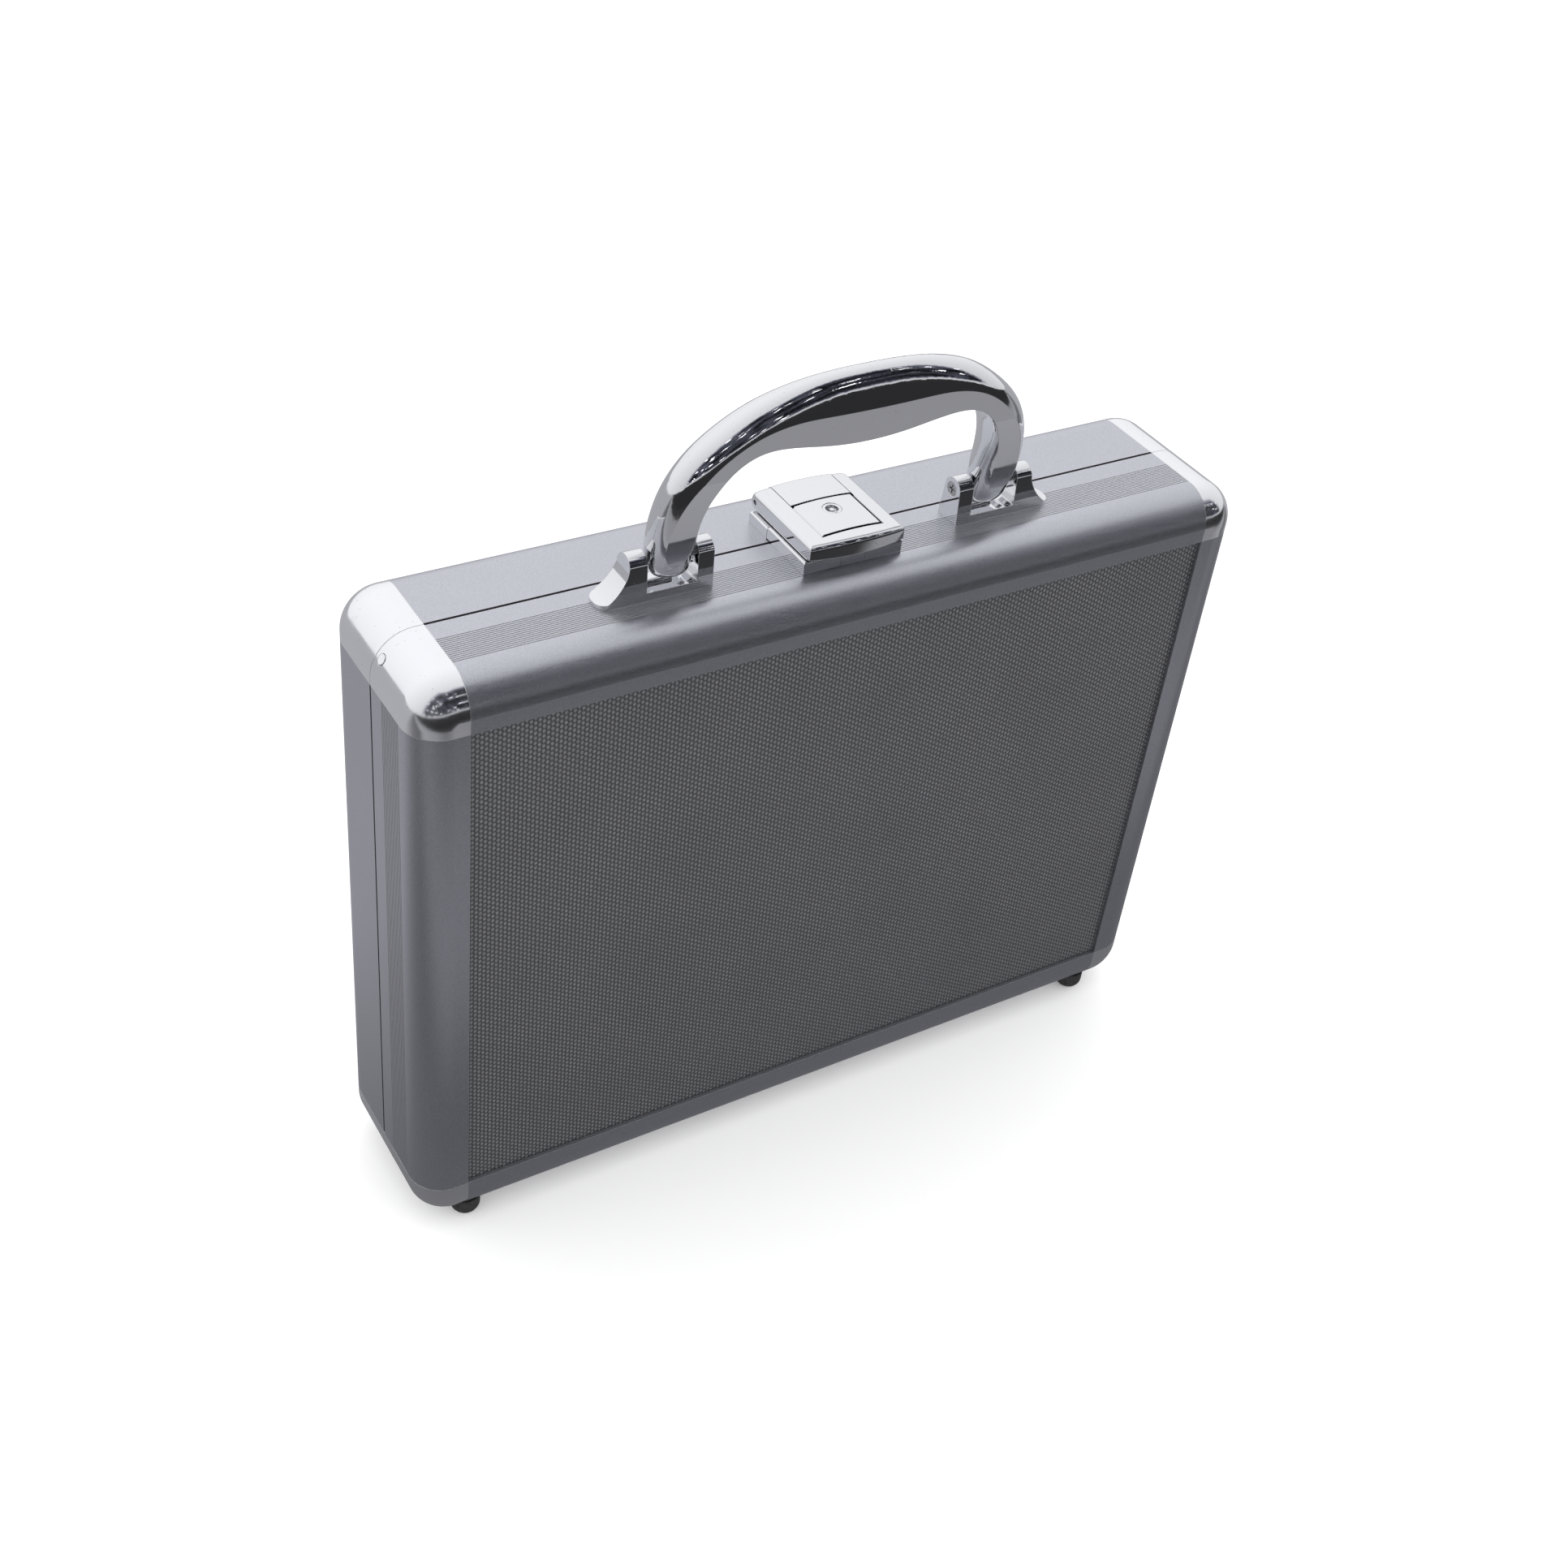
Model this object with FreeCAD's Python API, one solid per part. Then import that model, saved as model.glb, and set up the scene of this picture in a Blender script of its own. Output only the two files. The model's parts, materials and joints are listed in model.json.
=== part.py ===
import FreeCAD, Part
import math
import os

# A small hard-sided carry case that stands upright on four rubber feet.
# X runs along the case, Y from the front half (-) to the rear half (+), Z up.
# The origin is on the floor, under the middle of the case. Lengths are in millimetres.

V = FreeCAD.Vector
X_AXIS = V(1, 0, 0)
Y_AXIS = V(0, 1, 0)
Z_AXIS = V(0, 0, 1)
ORIGIN = V(0, 0, 0)

# ---- Case ----
LENGTH = 270.0
FRAME_HEIGHT = 201.5
DEPTH = 59.0
FOOT_HEIGHT = 5.0
WALL = 1.3                 # extrusion and casting wall
CORNER_SIZE = 15.0         # reach of a corner casting, and width of the face flange
CORNER_R = 12.5            # outline of the case, seen from the front
EDGE_R = 10.5              # rounding from the outer wall to the face
FRAME_SEAM = 0.9           # gap between the two frames
CORNER_SEAM = 0.1          # gap between a front and a rear corner casting
HALF_LENGTH = LENGTH / 2
BOTTOM = FOOT_HEIGHT
TOP = FOOT_HEIGHT + FRAME_HEIGHT
FACE = -DEPTH / 2          # front face; the rear half is the front half mirrored

# ---- Ribs on the front half's outer walls ----
RIB_PITCH = 0.8
RIB_COUNT = 14
RIB_START = -7.4
GROOVE_WIDTH = 0.4
GROOVE_DEPTH = 0.12

# ---- Face panel and its channel ----
PANEL_T = 2.5
PANEL_INSET = 11.0         # panel edge, in from the outside of the case
PANEL_CORNER_R = 2.0
LIP_GAP = 0.1
LIP_T = 1.2
LIP_REACH = 13.5
LIP_ROOT = 2.8

# ---- Corner castings ----
TONGUE_T = 1.6
TONGUE_REACH = 8.0
TONGUE_ROOT = 2.4
TONGUE_Y = (-15.6, -7.0)
RIVET_R = 1.5
RIVET_Y = -3.0
RIVET_ANGLE = 34.0         # where the rivet sits on the rounded outline, up from level
RIVET_LENGTH = 2.75
RIVET_PROUD = 0.15
RIVET_RING = 0.12          # open ring round the rivet

# ---- Seal strip inside the seam ----
SEAL_T = 1.4
SEAL_FRONT = -5.5
SEAL_REAR = 4.0
SEAL_PLAY = 0.4

# ---- Feet ----
FOOT_X = 117.8
FOOT_Y = -22.0
FOOT_R = 4.7
FOOT_FLAT_R = 2.2
FOOT_BULGE = (4.15, 1.5)   # radius and height of a point on the dome
FOOT_BAND = 1.4
STEM_R = 1.6
STEM_PLAY = 0.1
STEM_START = 2.0
BARB_R = 2.2
BARB_GAP = 1.7             # from the wall's inside to the barb, which clears the rounding
BARB_LENGTH = 0.7
FOOT_COLLAR = 2.0          # the foot's side rises this far round the frame's rounding

# ---- Hinges under the bottom edge ----
HINGE_X = 80.0
HINGE_LENGTH = 36.0
HINGE_DROP = 2.0           # pivot below the frames' bottom
LEAF_T = 1.0
LEAF_WIDTH = 12.0
KNUCKLE_R = 1.9
KNUCKLE_BORE_R = 1.0
HINGE_PIN_R = 0.93
KNUCKLE_GAP = 0.2
LEAF_CLEAR = 0.3           # from a knuckle to the other leaf's plate
STOP_ROOT = 1.3
STOP_REACH = 2.5
STOP_WIDTH = 1.2
STOP_LEAN = 178.0          # direction of the stop nib, in degrees from straight up
HINGE_RIVET_Y = 8.0

# ---- Small rivets driven from inside ----
SHANK_R = 1.2
RIVET_PLAY = 0.05
TAIL_R = 2.1
TAIL_T = 0.8

# ---- Handle brackets, measured from the handle's own middle and the case's top ----
HANDLE_X = -2.2            # middle of the handle and its brackets
BRACKET_Y = (-12.7, -3.7)
EAR_INNER_X = (39.9, 44.7)
EAR_OUTER_X = 60.0
EAR_CROWN_X = 65.0         # outside of the outer ear's round top
EAR_SLOPE = ((65.4, 9.7), (67.6, 5.2), (71.4, 1.4))     # hollow slope below it, as X and Z
EAR_TOP_R = 3.7
EAR_LEAN = 12.0            # degrees that an ear's sides lean in
EAR_SHIFT = -0.3           # middle of the round top, from the pivot along Y
BRACKET_END_X = 74.0
BRACKET_END_T = 1.1
BRACKET_END_R = 3.8
BRACKET_FLOOR = 2.5
BEAD_R = 1.2               # half-round bead on the floor, from the end nearer -X
BEAD_LENGTH = 9.2
LUG_STARTS = (9.5, 12.5)   # two pointed lugs beyond the bead, from the same end
LUG_HEIGHTS = (0.7, 1.1)
LUG_WIDTH = 2.6
LUG_Y = (-11.6, -5.0)
PIVOT_Y = -8.3
PIVOT_Z = 10.0
PIVOT_SCREW_R = 1.5
PIVOT_PLAY = 0.06
SCREW_HEAD_R = 2.1
SCREW_HEAD_T = 0.8
SCREW_END_X = 63.0
CROSS_REACH = 1.35         # arms of the screw's cross slot
CROSS_HALF_WIDTH = 0.3
CROSS_DEPTH = 0.5
BRACKET_RIVET_X = (42.3, 64.5)

# ---- Latch, measured from its own middle and the case's top ----
LATCH_X = -0.7             # middle of the latch
LATCH_HALF_WIDTH = 16.0
LATCH_FRONT = -18.0
LATCH_SPLIT = (1.9, 2.1)   # rear of the base, front of the keeper
LATCH_REAR = 11.9
LATCH_CHAMFER = 0.4
BASE_TOP = 4.0
BASE_RELIEF = (-0.6, 0.3)  # the base stands clear of the rear frame: from this Y, by this height
KEEPER_TOP = 3.4
CATCH_HALF_WIDTH = 3.8
CATCH_DEPTH = 5.0
CATCH_GAP = 0.12
CAM_SLOT_HALF_WIDTH = 2.6
CAM_SLOT_FRONT = -7.7
CAM_FLOOR = 0.6
CAM_CAVITY_TOP = 2.5
CAM_CAVITY_R = 6.2
HASP_PIN_Y = 10.8
HASP_PIN_Z = 6.65
HASP_PIN_R = 0.75
HASP_PIN_HALF_LENGTH = 13.8
HASP_PLAY = 0.05
COVER_HALF_WIDTH = 15.3
COVER_OPENING = 10.05
COVER_FRONT = -21.1
COVER_BAR_REAR = -16.4
COVER_BAR_LIP = 1.2        # the bar's rear part that reaches down to the base
COVER_REAR = 13.6
COVER_BOTTOM = 4.25
COVER_ARM_BOTTOM = 3.7
COVER_BAR_BOTTOM = 5.3
COVER_RIM_R = 1.6
ARM_END_R = (2.9, 2.4)     # rounding of the arms' ends, top and bottom
CROWN_TOP = 10.4
CROWN_DROP = 1.1
FRONT_BULGE_R = 62.0
BLOCK_FRONT = 1.0
BLOCK_END_R = 2.5
BLOCK_CLEAR = 0.25
PLATE_HALF_WIDTH = 9.8
PLATE_FRONT = -15.5
PLATE_REAR_SWEEP_R = 11.15
PLATE_BEVEL = 0.7
LEDGE_X = 8.4              # the cover's ledges under the plate start here
LEDGE_REAR = -0.9
LEDGE_TOP = 5.3
LEDGE_PLAY = 0.1
KEEL_BOTTOM = COVER_BOTTOM + 0.25
LOCK_Y = -5.0
LOCK_R = 2.75
LOCK_BORE_R = 2.85
LOCK_SUNK = 0.1
KEYWAY_R = 1.9
KEYWAY_DEPTH = 1.5
KEY_POST_R = 0.75
KEY_POST_TOP = 0.3         # below the crown
KEY_GATE = (0.45, 2.4)     # half width, reach
SPINDLE_R = 1.3
SPINDLE_PLAY = 0.02
CAM_Z = (0.9, 2.2)
CAM_WIDTH = 3.6
CAM_HUB_R = 2.4
CAM_REACH = 5.6
LATCH_RIVET_X = 12.0
BASE_RIVET_Y = -11.0
KEEPER_RIVET_Y = 8.0
BEYOND = 20.0              # past the latch in every direction

# ---- Foam ----
FOAM_INSET = 3.8           # foam edge, in from the outside of the case
FOAM_CORNER_R = CORNER_R - FOAM_INSET
FOAM_BACK = -24.2
FOAM_BASE_T = 2.0
FOAM_MOUTH = -0.6
FOAM_RIM = 9.0
FOAM_WALL = 8.0
POCKET_COLUMNS = 6
POCKET_ROWS = 3
LID_FOAM_CREST = 5.0


# ---- Small helpers ----
def box(x, y, z):
    """Box from three (low, high) pairs."""
    size = [high - low for low, high in (x, y, z)]
    return Part.makeBox(size[0], size[1], size[2], V(x[0], y[0], z[0]))


def rod(radius, start, direction, length):
    return Part.makeCylinder(radius, length, start, direction)


def mirrored_y(shape):
    return shape.mirror(ORIGIN, Y_AXIS)


def mirrored_x(shape):
    return shape.mirror(ORIGIN, X_AXIS)


def both_sides(shape):
    """The shape and its mirror image left to right, as separate solids."""
    return Part.makeCompound([shape, mirrored_x(shape)])


def prism(points, direction):
    """Solid from a closed outline and an extrusion vector."""
    outline = Part.makePolygon(points + [points[0]])
    return Part.Face(outline).extrude(direction)


def raised(shape, x):
    """Lift a piece drawn about its group's middle onto the case's top."""
    shape.translate(V(x, 0, TOP))
    return shape


def edges_where(shape, test):
    return [edge for edge in shape.Edges if all(test(vertex.Point) for vertex in edge.Vertexes)]


def upright_edges(shape, reach):
    """Edges parallel to Y that are as long as the shape is deep."""
    found = []
    for edge in shape.Edges:
        ends = [vertex.Point for vertex in edge.Vertexes]
        if len(ends) == 2 and abs(abs(ends[0].y - ends[1].y) - reach) < 1e-6:
            found.append(edge)
    return found


def rounded_block(inset, y_face, y_seam):
    """The front half's outside, or its inside when the skins move in by inset."""
    low_z = BOTTOM + inset
    high_z = TOP - inset
    reach = HALF_LENGTH - inset
    block = box((-reach, reach), (y_face, y_seam), (low_z, high_z))
    block = block.makeFillet(CORNER_R - inset, upright_edges(block, y_seam - y_face))
    face_edges = edges_where(block, lambda point: abs(point.y - y_face) < 1e-6)
    return block.makeFillet(EDGE_R - inset, face_edges)


# ---- Frames and corners of one half, built as the front half ----
def ribs_on(z_sign, x_sign):
    """Cutters for the fine grooves along one outer wall."""
    cutters = []
    for index in range(RIB_COUNT):
        y_high = RIB_START - index * RIB_PITCH
        y = (y_high - GROOVE_WIDTH, y_high)
        if z_sign:
            surface = TOP if z_sign > 0 else BOTTOM
            z = sorted((surface - z_sign * GROOVE_DEPTH, surface + z_sign))
            cutters.append(box((-HALF_LENGTH, HALF_LENGTH), y, z))
        else:
            surface = x_sign * HALF_LENGTH
            x = sorted((surface - x_sign * GROOVE_DEPTH, surface + x_sign))
            cutters.append(box(x, y, (BOTTOM, TOP)))
    return Part.makeCompound(cutters)


def frame(shell, z_sign, x_sign):
    """One edge extrusion: its length of the shell, and the lip behind the panel."""
    inner_x = HALF_LENGTH - CORNER_SIZE
    inner_z = (BOTTOM + CORNER_SIZE, TOP - CORNER_SIZE)
    lip_y = FACE + WALL + PANEL_T + LIP_GAP
    if z_sign:
        surface = TOP if z_sign > 0 else BOTTOM
        z = sorted((surface + z_sign, surface - z_sign * CORNER_SIZE))
        lip_z = sorted((surface - z_sign * LIP_ROOT, surface - z_sign * LIP_REACH))
        region = box((-inner_x, inner_x), (FACE - 1, 0), z)
        lip = box((-inner_x, inner_x), (lip_y, lip_y + LIP_T), lip_z)
    else:
        surface = x_sign * HALF_LENGTH
        x = sorted((surface + x_sign, surface - x_sign * CORNER_SIZE))
        lip_x = sorted((surface - x_sign * LIP_ROOT, surface - x_sign * LIP_REACH))
        region = box(x, (FACE - 1, 0), inner_z)
        lip = box(lip_x, (lip_y, lip_y + LIP_T), inner_z)
    return shell.common(region).fuse(lip).removeSplitter()


def corner(shell, z_sign, x_sign):
    """One corner casting with the two tongues that hold it in the extrusions."""
    reach = HALF_LENGTH + 1
    inner_x = HALF_LENGTH - CORNER_SIZE
    surface = TOP if z_sign > 0 else BOTTOM
    x = sorted((x_sign * inner_x, x_sign * reach))
    z = sorted((surface + z_sign, surface - z_sign * CORNER_SIZE))
    body = shell.common(box(x, (FACE - 1, 0), z))
    flat_z = sorted((surface - z_sign * WALL, surface - z_sign * (WALL + TONGUE_T)))
    flat_x = sorted((x_sign * (inner_x + TONGUE_ROOT), x_sign * (inner_x - TONGUE_REACH)))
    side_x = sorted((x_sign * (HALF_LENGTH - WALL), x_sign * (HALF_LENGTH - WALL - TONGUE_T)))
    side_z = sorted((surface - z_sign * (CORNER_SIZE - TONGUE_ROOT),
                     surface - z_sign * (CORNER_SIZE + TONGUE_REACH)))
    body = body.fuse([box(flat_x, TONGUE_Y, flat_z), box(side_x, TONGUE_Y, side_z)])
    return body.removeSplitter()


def corner_rivet(z_sign, x_sign, radius, length):
    """Rod square to the rounded outline, from just outside it inwards."""
    angle = math.radians(RIVET_ANGLE)
    outward = V(x_sign * math.cos(angle), 0, z_sign * math.sin(angle))
    centre_z = (TOP - CORNER_R) if z_sign > 0 else (BOTTOM + CORNER_R)
    centre = V(x_sign * (HALF_LENGTH - CORNER_R), RIVET_Y, centre_z)
    return rod(radius, centre + outward * (CORNER_R + RIVET_PROUD), outward * -1, length)


def at_corners(radius, length):
    rods = [corner_rivet(z_sign, x_sign, radius, length) for z_sign, x_sign in CORNERS.values()]
    return Part.makeCompound(rods)


def panel():
    y = (FACE + WALL, FACE + WALL + PANEL_T)
    reach = HALF_LENGTH - PANEL_INSET
    sheet = box((-reach, reach), y, (BOTTOM + PANEL_INSET, TOP - PANEL_INSET))
    return sheet.makeFillet(PANEL_CORNER_R, upright_edges(sheet, PANEL_T))


def seal_ring(inset, y):
    reach = HALF_LENGTH - inset
    inner = reach - (SEAL_T - (inset - WALL))
    z = (BOTTOM + inset, TOP - inset)
    hole_z = (BOTTOM + WALL + SEAL_T, TOP - WALL - SEAL_T)
    ring = box((-reach, reach), y, z)
    ring = ring.makeFillet(CORNER_R - inset, upright_edges(ring, y[1] - y[0]))
    hole = box((-inner, inner), y, hole_z)
    hole = hole.makeFillet(CORNER_R - WALL - SEAL_T, upright_edges(hole, y[1] - y[0]))
    return ring.cut(hole)


def seam_seal():
    """Black strip fixed inside the front frame; its tongue enters the rear frame with play."""
    front = seal_ring(WALL, (SEAL_FRONT, -FRAME_SEAM / 2))
    tongue = seal_ring(WALL + SEAL_PLAY, (-FRAME_SEAM / 2, SEAL_REAR))
    strip = front.fuse(tongue).removeSplitter()
    return strip.cut(at_corners(RIVET_R + RIVET_RING, CORNER_SIZE / 2))


# ---- Feet ----
def foot(x):
    """Rubber dome with a push-in stem and barb, seated on the rounded frame."""
    band_z = FOOT_HEIGHT - FOOT_BAND
    profile = Part.Wire([
        Part.LineSegment(V(0, 0, 0), V(FOOT_FLAT_R, 0, 0)).toShape(),
        Part.Arc(V(FOOT_FLAT_R, 0, 0), V(FOOT_BULGE[0], 0, FOOT_BULGE[1]), V(FOOT_R, 0, band_z)).toShape(),
        Part.LineSegment(V(FOOT_R, 0, band_z), V(FOOT_R, 0, FOOT_HEIGHT + FOOT_COLLAR)).toShape(),
        Part.LineSegment(V(FOOT_R, 0, FOOT_HEIGHT + FOOT_COLLAR), V(0, 0, FOOT_HEIGHT + FOOT_COLLAR)).toShape(),
        Part.LineSegment(V(0, 0, FOOT_HEIGHT + FOOT_COLLAR), V(0, 0, 0)).toShape(),
    ])
    dome = Part.Face(profile).revolve(ORIGIN, Z_AXIS, 360)
    dome.translate(V(x, FOOT_Y, 0))
    dome = dome.cut(rounded_block(0, FACE, 0))
    barb_z = BOTTOM + WALL + BARB_GAP
    stem = rod(STEM_R, V(x, FOOT_Y, STEM_START), Z_AXIS, barb_z - STEM_START + BARB_LENGTH / 2)
    barb = rod(BARB_R, V(x, FOOT_Y, barb_z), Z_AXIS, BARB_LENGTH)
    return dome.fuse([stem, barb]).removeSplitter()


def foot_hole(x):
    return rod(STEM_R + STEM_PLAY, V(x, FOOT_Y, 0), Z_AXIS, BOTTOM + CORNER_SIZE)


# ---- Rivets driven from inside the case ----
def rivet(x, y, surface_z, up, grip):
    """Rivet with its tail inside the wall; up is +1 for a part on top, -1 underneath."""
    tail_z = surface_z - up * WALL
    tail = rod(TAIL_R, V(x, y, tail_z), V(0, 0, -up), TAIL_T)
    shank = rod(SHANK_R, V(x, y, tail_z), V(0, 0, up), WALL + grip)
    return tail.fuse(shank).removeSplitter()


def rivet_hole(x, y, surface_z, up, grip):
    start = V(x, y, surface_z - up * (WALL + 1))
    return rod(SHANK_R + RIVET_PLAY, start, V(0, 0, up), WALL + 1 + grip)


def rivets(places, surface_z, up, grip):
    return Part.makeCompound([rivet(x, y, surface_z, up, grip) for x, y in places])


def rivet_holes(places, surface_z, up, grip):
    return Part.makeCompound([rivet_hole(x, y, surface_z, up, grip) for x, y in places])


BRACKET_GRIP = 3.0
LATCH_GRIP = 2.4
LEAF_GRIP = LEAF_T
KEEPER_GRIP = 1.9
HOLE_DEEPER = 0.1          # a rivet's hole goes this much past its end
BRACKET_PLACES = [(HANDLE_X + sign * x, PIVOT_Y) for sign in (-1, 1) for x in BRACKET_RIVET_X]
BASE_PLACES = [(LATCH_X + sign * LATCH_RIVET_X, BASE_RIVET_Y) for sign in (-1, 1)]
KEEPER_PLACES = [(LATCH_X + sign * LATCH_RIVET_X, KEEPER_RIVET_Y) for sign in (-1, 1)]


def leaf_places(y):
    offsets = (-HINGE_LENGTH / 3, HINGE_LENGTH / 3)
    return [(side * HINGE_X + offset, y) for side in (-1, 1) for offset in offsets]


# ---- Hinges ----
def knuckle(x, length):
    pivot = V(x, 0, BOTTOM - HINGE_DROP)
    return rod(KNUCKLE_R, pivot, X_AXIS, length)


def hinge_leaf(x, front):
    """Leaf under one half. The front leaf has the two end knuckles, the rear one the middle."""
    half = HINGE_LENGTH / 2
    third = HINGE_LENGTH / 6
    side = -1 if front else 1
    plate_z = (BOTTOM - LEAF_T, BOTTOM)
    clear = KNUCKLE_R + LEAF_CLEAR
    plate_y = sorted((side * clear, side * LEAF_WIDTH))
    neck_y = sorted((0, side * clear))
    if front:
        spans = [(x - half, x - third), (x + third, x + half)]
    else:
        spans = [(x - third + KNUCKLE_GAP, x + third - KNUCKLE_GAP)]
    leaf = box((x - half, x + half), plate_y, plate_z)
    for low, high in spans:
        neck = box((low, high), neck_y, plate_z)
        leaf = leaf.fuse([neck, knuckle(low, high - low)])
    if not front:
        leaf = leaf.fuse(stop_nib(spans[0]))
    pivot = V(x - half - 1, 0, BOTTOM - HINGE_DROP)
    leaf = leaf.cut(rod(KNUCKLE_BORE_R, pivot, X_AXIS, HINGE_LENGTH + 2))
    leaf = leaf.cut(rivet_holes(leaf_places(side * HINGE_RIVET_Y), BOTTOM, -1, LEAF_T + 1))
    return leaf.removeSplitter()


def stop_nib(span):
    """Small nib on the rear knuckle that meets the front leaf when the lid is fully open."""
    pivot = V(0, 0, BOTTOM - HINGE_DROP)
    nib = box(span, (-STOP_WIDTH / 2, STOP_WIDTH / 2), (pivot.z + STOP_ROOT, pivot.z + STOP_REACH))
    nib.rotate(pivot, X_AXIS, -STOP_LEAN)
    return nib


def hinge_pin(x):
    start = V(x - HINGE_LENGTH / 2, 0, BOTTOM - HINGE_DROP)
    return rod(HINGE_PIN_R, start, X_AXIS, HINGE_LENGTH)


# ---- Handle brackets ----
def ear_profile(x, length):
    """Side view of an ear: wide foot, tapered back, round top about the pivot."""
    centre_y = PIVOT_Y + EAR_SHIFT
    angle = math.radians(EAR_LEAN)
    dy = EAR_TOP_R * math.cos(angle)
    dz = EAR_TOP_R * math.sin(angle)
    front_low = V(x, BRACKET_Y[0], 0)
    front_high = V(x, centre_y - dy, PIVOT_Z + dz)
    crest = V(x, centre_y, PIVOT_Z + EAR_TOP_R)
    rear_high = V(x, centre_y + dy, PIVOT_Z + dz)
    rear_low = V(x, BRACKET_Y[1], 0)
    outline = Part.Wire([
        Part.LineSegment(front_low, front_high).toShape(),
        Part.Arc(front_high, crest, rear_high).toShape(),
        Part.LineSegment(rear_high, rear_low).toShape(),
        Part.LineSegment(rear_low, front_low).toShape(),
    ])
    return Part.Face(outline).extrude(V(length, 0, 0))


def outer_ear_outline():
    """Front view of the outer ear: thick top, hollow slope down to the foot's thin end."""
    y = BRACKET_Y[0] - 1
    crown = PIVOT_Z + EAR_TOP_R + 1
    start, middle, end = [V(x, y, z) for x, z in EAR_SLOPE]
    rest = [end, V(BRACKET_END_X, y, BRACKET_END_T), V(BRACKET_END_X, y, 0), V(EAR_OUTER_X, y, 0),
            V(EAR_OUTER_X, y, crown), V(EAR_CROWN_X, y, crown), start]
    edges = [Part.LineSegment(low, high).toShape() for low, high in zip(rest, rest[1:])]
    edges.append(Part.Arc(start, middle, end).toShape())
    depth = BRACKET_Y[1] - BRACKET_Y[0] + 2
    return Part.Face(Part.Wire(edges)).extrude(V(0, depth, 0))


def handle_bracket(sign):
    """Casting with two ears; the bead and lugs on its floor keep their order on both sides."""
    inner_ear = ear_profile(EAR_INNER_X[0], EAR_INNER_X[1] - EAR_INNER_X[0])
    outer_ear = ear_profile(EAR_OUTER_X, BRACKET_END_X - EAR_OUTER_X).common(outer_ear_outline())
    at_end = edges_where(outer_ear, lambda point: abs(point.x - BRACKET_END_X) < 1e-6)
    uprights = [edge for edge in at_end if abs(edge.Vertexes[0].Y - edge.Vertexes[-1].Y) < 0.5]
    outer_ear = outer_ear.makeFillet(BRACKET_END_R, uprights)
    floor = box((EAR_INNER_X[1] - 1, EAR_OUTER_X + 1), BRACKET_Y, (0, BRACKET_FLOOR))
    bracket = inner_ear.fuse([outer_ear, floor])
    notch_start = EAR_INNER_X[1]
    if sign < 0:
        bracket = mirrored_x(bracket)
        notch_start = -EAR_OUTER_X
    bracket = bracket.fuse(floor_details(notch_start))
    pivot = V(0, PIVOT_Y, PIVOT_Z)
    outward = V(sign, 0, 0)
    screw = rod(PIVOT_SCREW_R + PIVOT_PLAY, pivot, outward, SCREW_END_X + 0.3)
    head = rod(SCREW_HEAD_R + PIVOT_PLAY, pivot, outward, EAR_INNER_X[0] + SCREW_HEAD_T)
    bracket = raised(bracket.cut([screw, head]).removeSplitter(), HANDLE_X)
    return bracket.cut(rivet_holes(BRACKET_PLACES, TOP, 1, BRACKET_GRIP + HOLE_DEEPER))


def floor_details(start):
    """Half-round bead and two pointed lugs on the floor between the ears."""
    details = [rod(BEAD_R, V(start - 1, PIVOT_Y, BRACKET_FLOOR), X_AXIS, BEAD_LENGTH + 1)]
    for offset, height in zip(LUG_STARTS, LUG_HEIGHTS):
        low = start + offset
        section = [V(low, LUG_Y[0], 0), V(low, LUG_Y[0], BRACKET_FLOOR),
                   V(low + LUG_WIDTH / 2, LUG_Y[0], BRACKET_FLOOR + height),
                   V(low + LUG_WIDTH, LUG_Y[0], BRACKET_FLOOR), V(low + LUG_WIDTH, LUG_Y[0], 0)]
        details.append(prism(section, V(0, LUG_Y[1] - LUG_Y[0], 0)))
    return details


def pivot_screw():
    """Cross-head screw that the leg turns on."""
    start = V(EAR_INNER_X[0] + PIVOT_PLAY, PIVOT_Y, PIVOT_Z)
    head = rod(SCREW_HEAD_R, start, X_AXIS, SCREW_HEAD_T - PIVOT_PLAY)
    shaft = rod(PIVOT_SCREW_R, start, X_AXIS, SCREW_END_X - start.x)
    screw = head.fuse(shaft)
    depth = (start.x - 1, start.x + CROSS_DEPTH)
    wide = (PIVOT_Y - CROSS_REACH, PIVOT_Y + CROSS_REACH)
    narrow = (PIVOT_Y - CROSS_HALF_WIDTH, PIVOT_Y + CROSS_HALF_WIDTH)
    tall = (PIVOT_Z - CROSS_REACH, PIVOT_Z + CROSS_REACH)
    low = (PIVOT_Z - CROSS_HALF_WIDTH, PIVOT_Z + CROSS_HALF_WIDTH)
    slots = [box(depth, narrow, tall), box(depth, wide, low)]
    return screw.cut(slots).removeSplitter()


# ---- Handle ----
# From the foot of the right leg up to the middle of the grip, with the handle upright: outer point,
# inner point (X and Z above the case's top), half depth along Y before the flats are cut, and how
# far the widest line sits towards the inside, as a share of half the section.
HANDLE_SECTIONS = [
    ((56.2, 5.2), (46.2, 5.2), 3.7, 0.0),
    ((57.9, 6.6), (45.45, 6.6), 4.4, 0.0),
    ((58.9, 9.5), (45.35, 9.5), 4.8, 0.0),
    ((59.2, 15.2), (45.35, 14.7), 5.9, 0.0),
    ((58.8, 23.6), (45.4, 22.0), 6.3, 0.05),
    ((57.0, 31.6), (44.9, 28.8), 6.5, 0.15),
    ((52.3, 40.8), (42.8, 35.1), 6.6, 0.3),
    ((44.2, 48.9), (38.9, 40.6), 6.6, 0.4),
    ((34.5, 55.4), (32.9, 43.9), 6.6, 0.5),
    ((25.5, 59.0), (25.6, 44.0), 6.6, 0.5),
    ((13.7, 61.4), (13.7, 42.0), 6.6, 0.55),
    ((0.0, 62.0), (0.0, 40.8), 6.6, 0.55),
]
HANDLE_TILT = 10.0         # degrees that the handle stands forward of upright
SECTION_POINTS = 24
OUTER_ROUNDNESS = 2.1      # 2 is an ellipse, more is squarer
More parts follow.
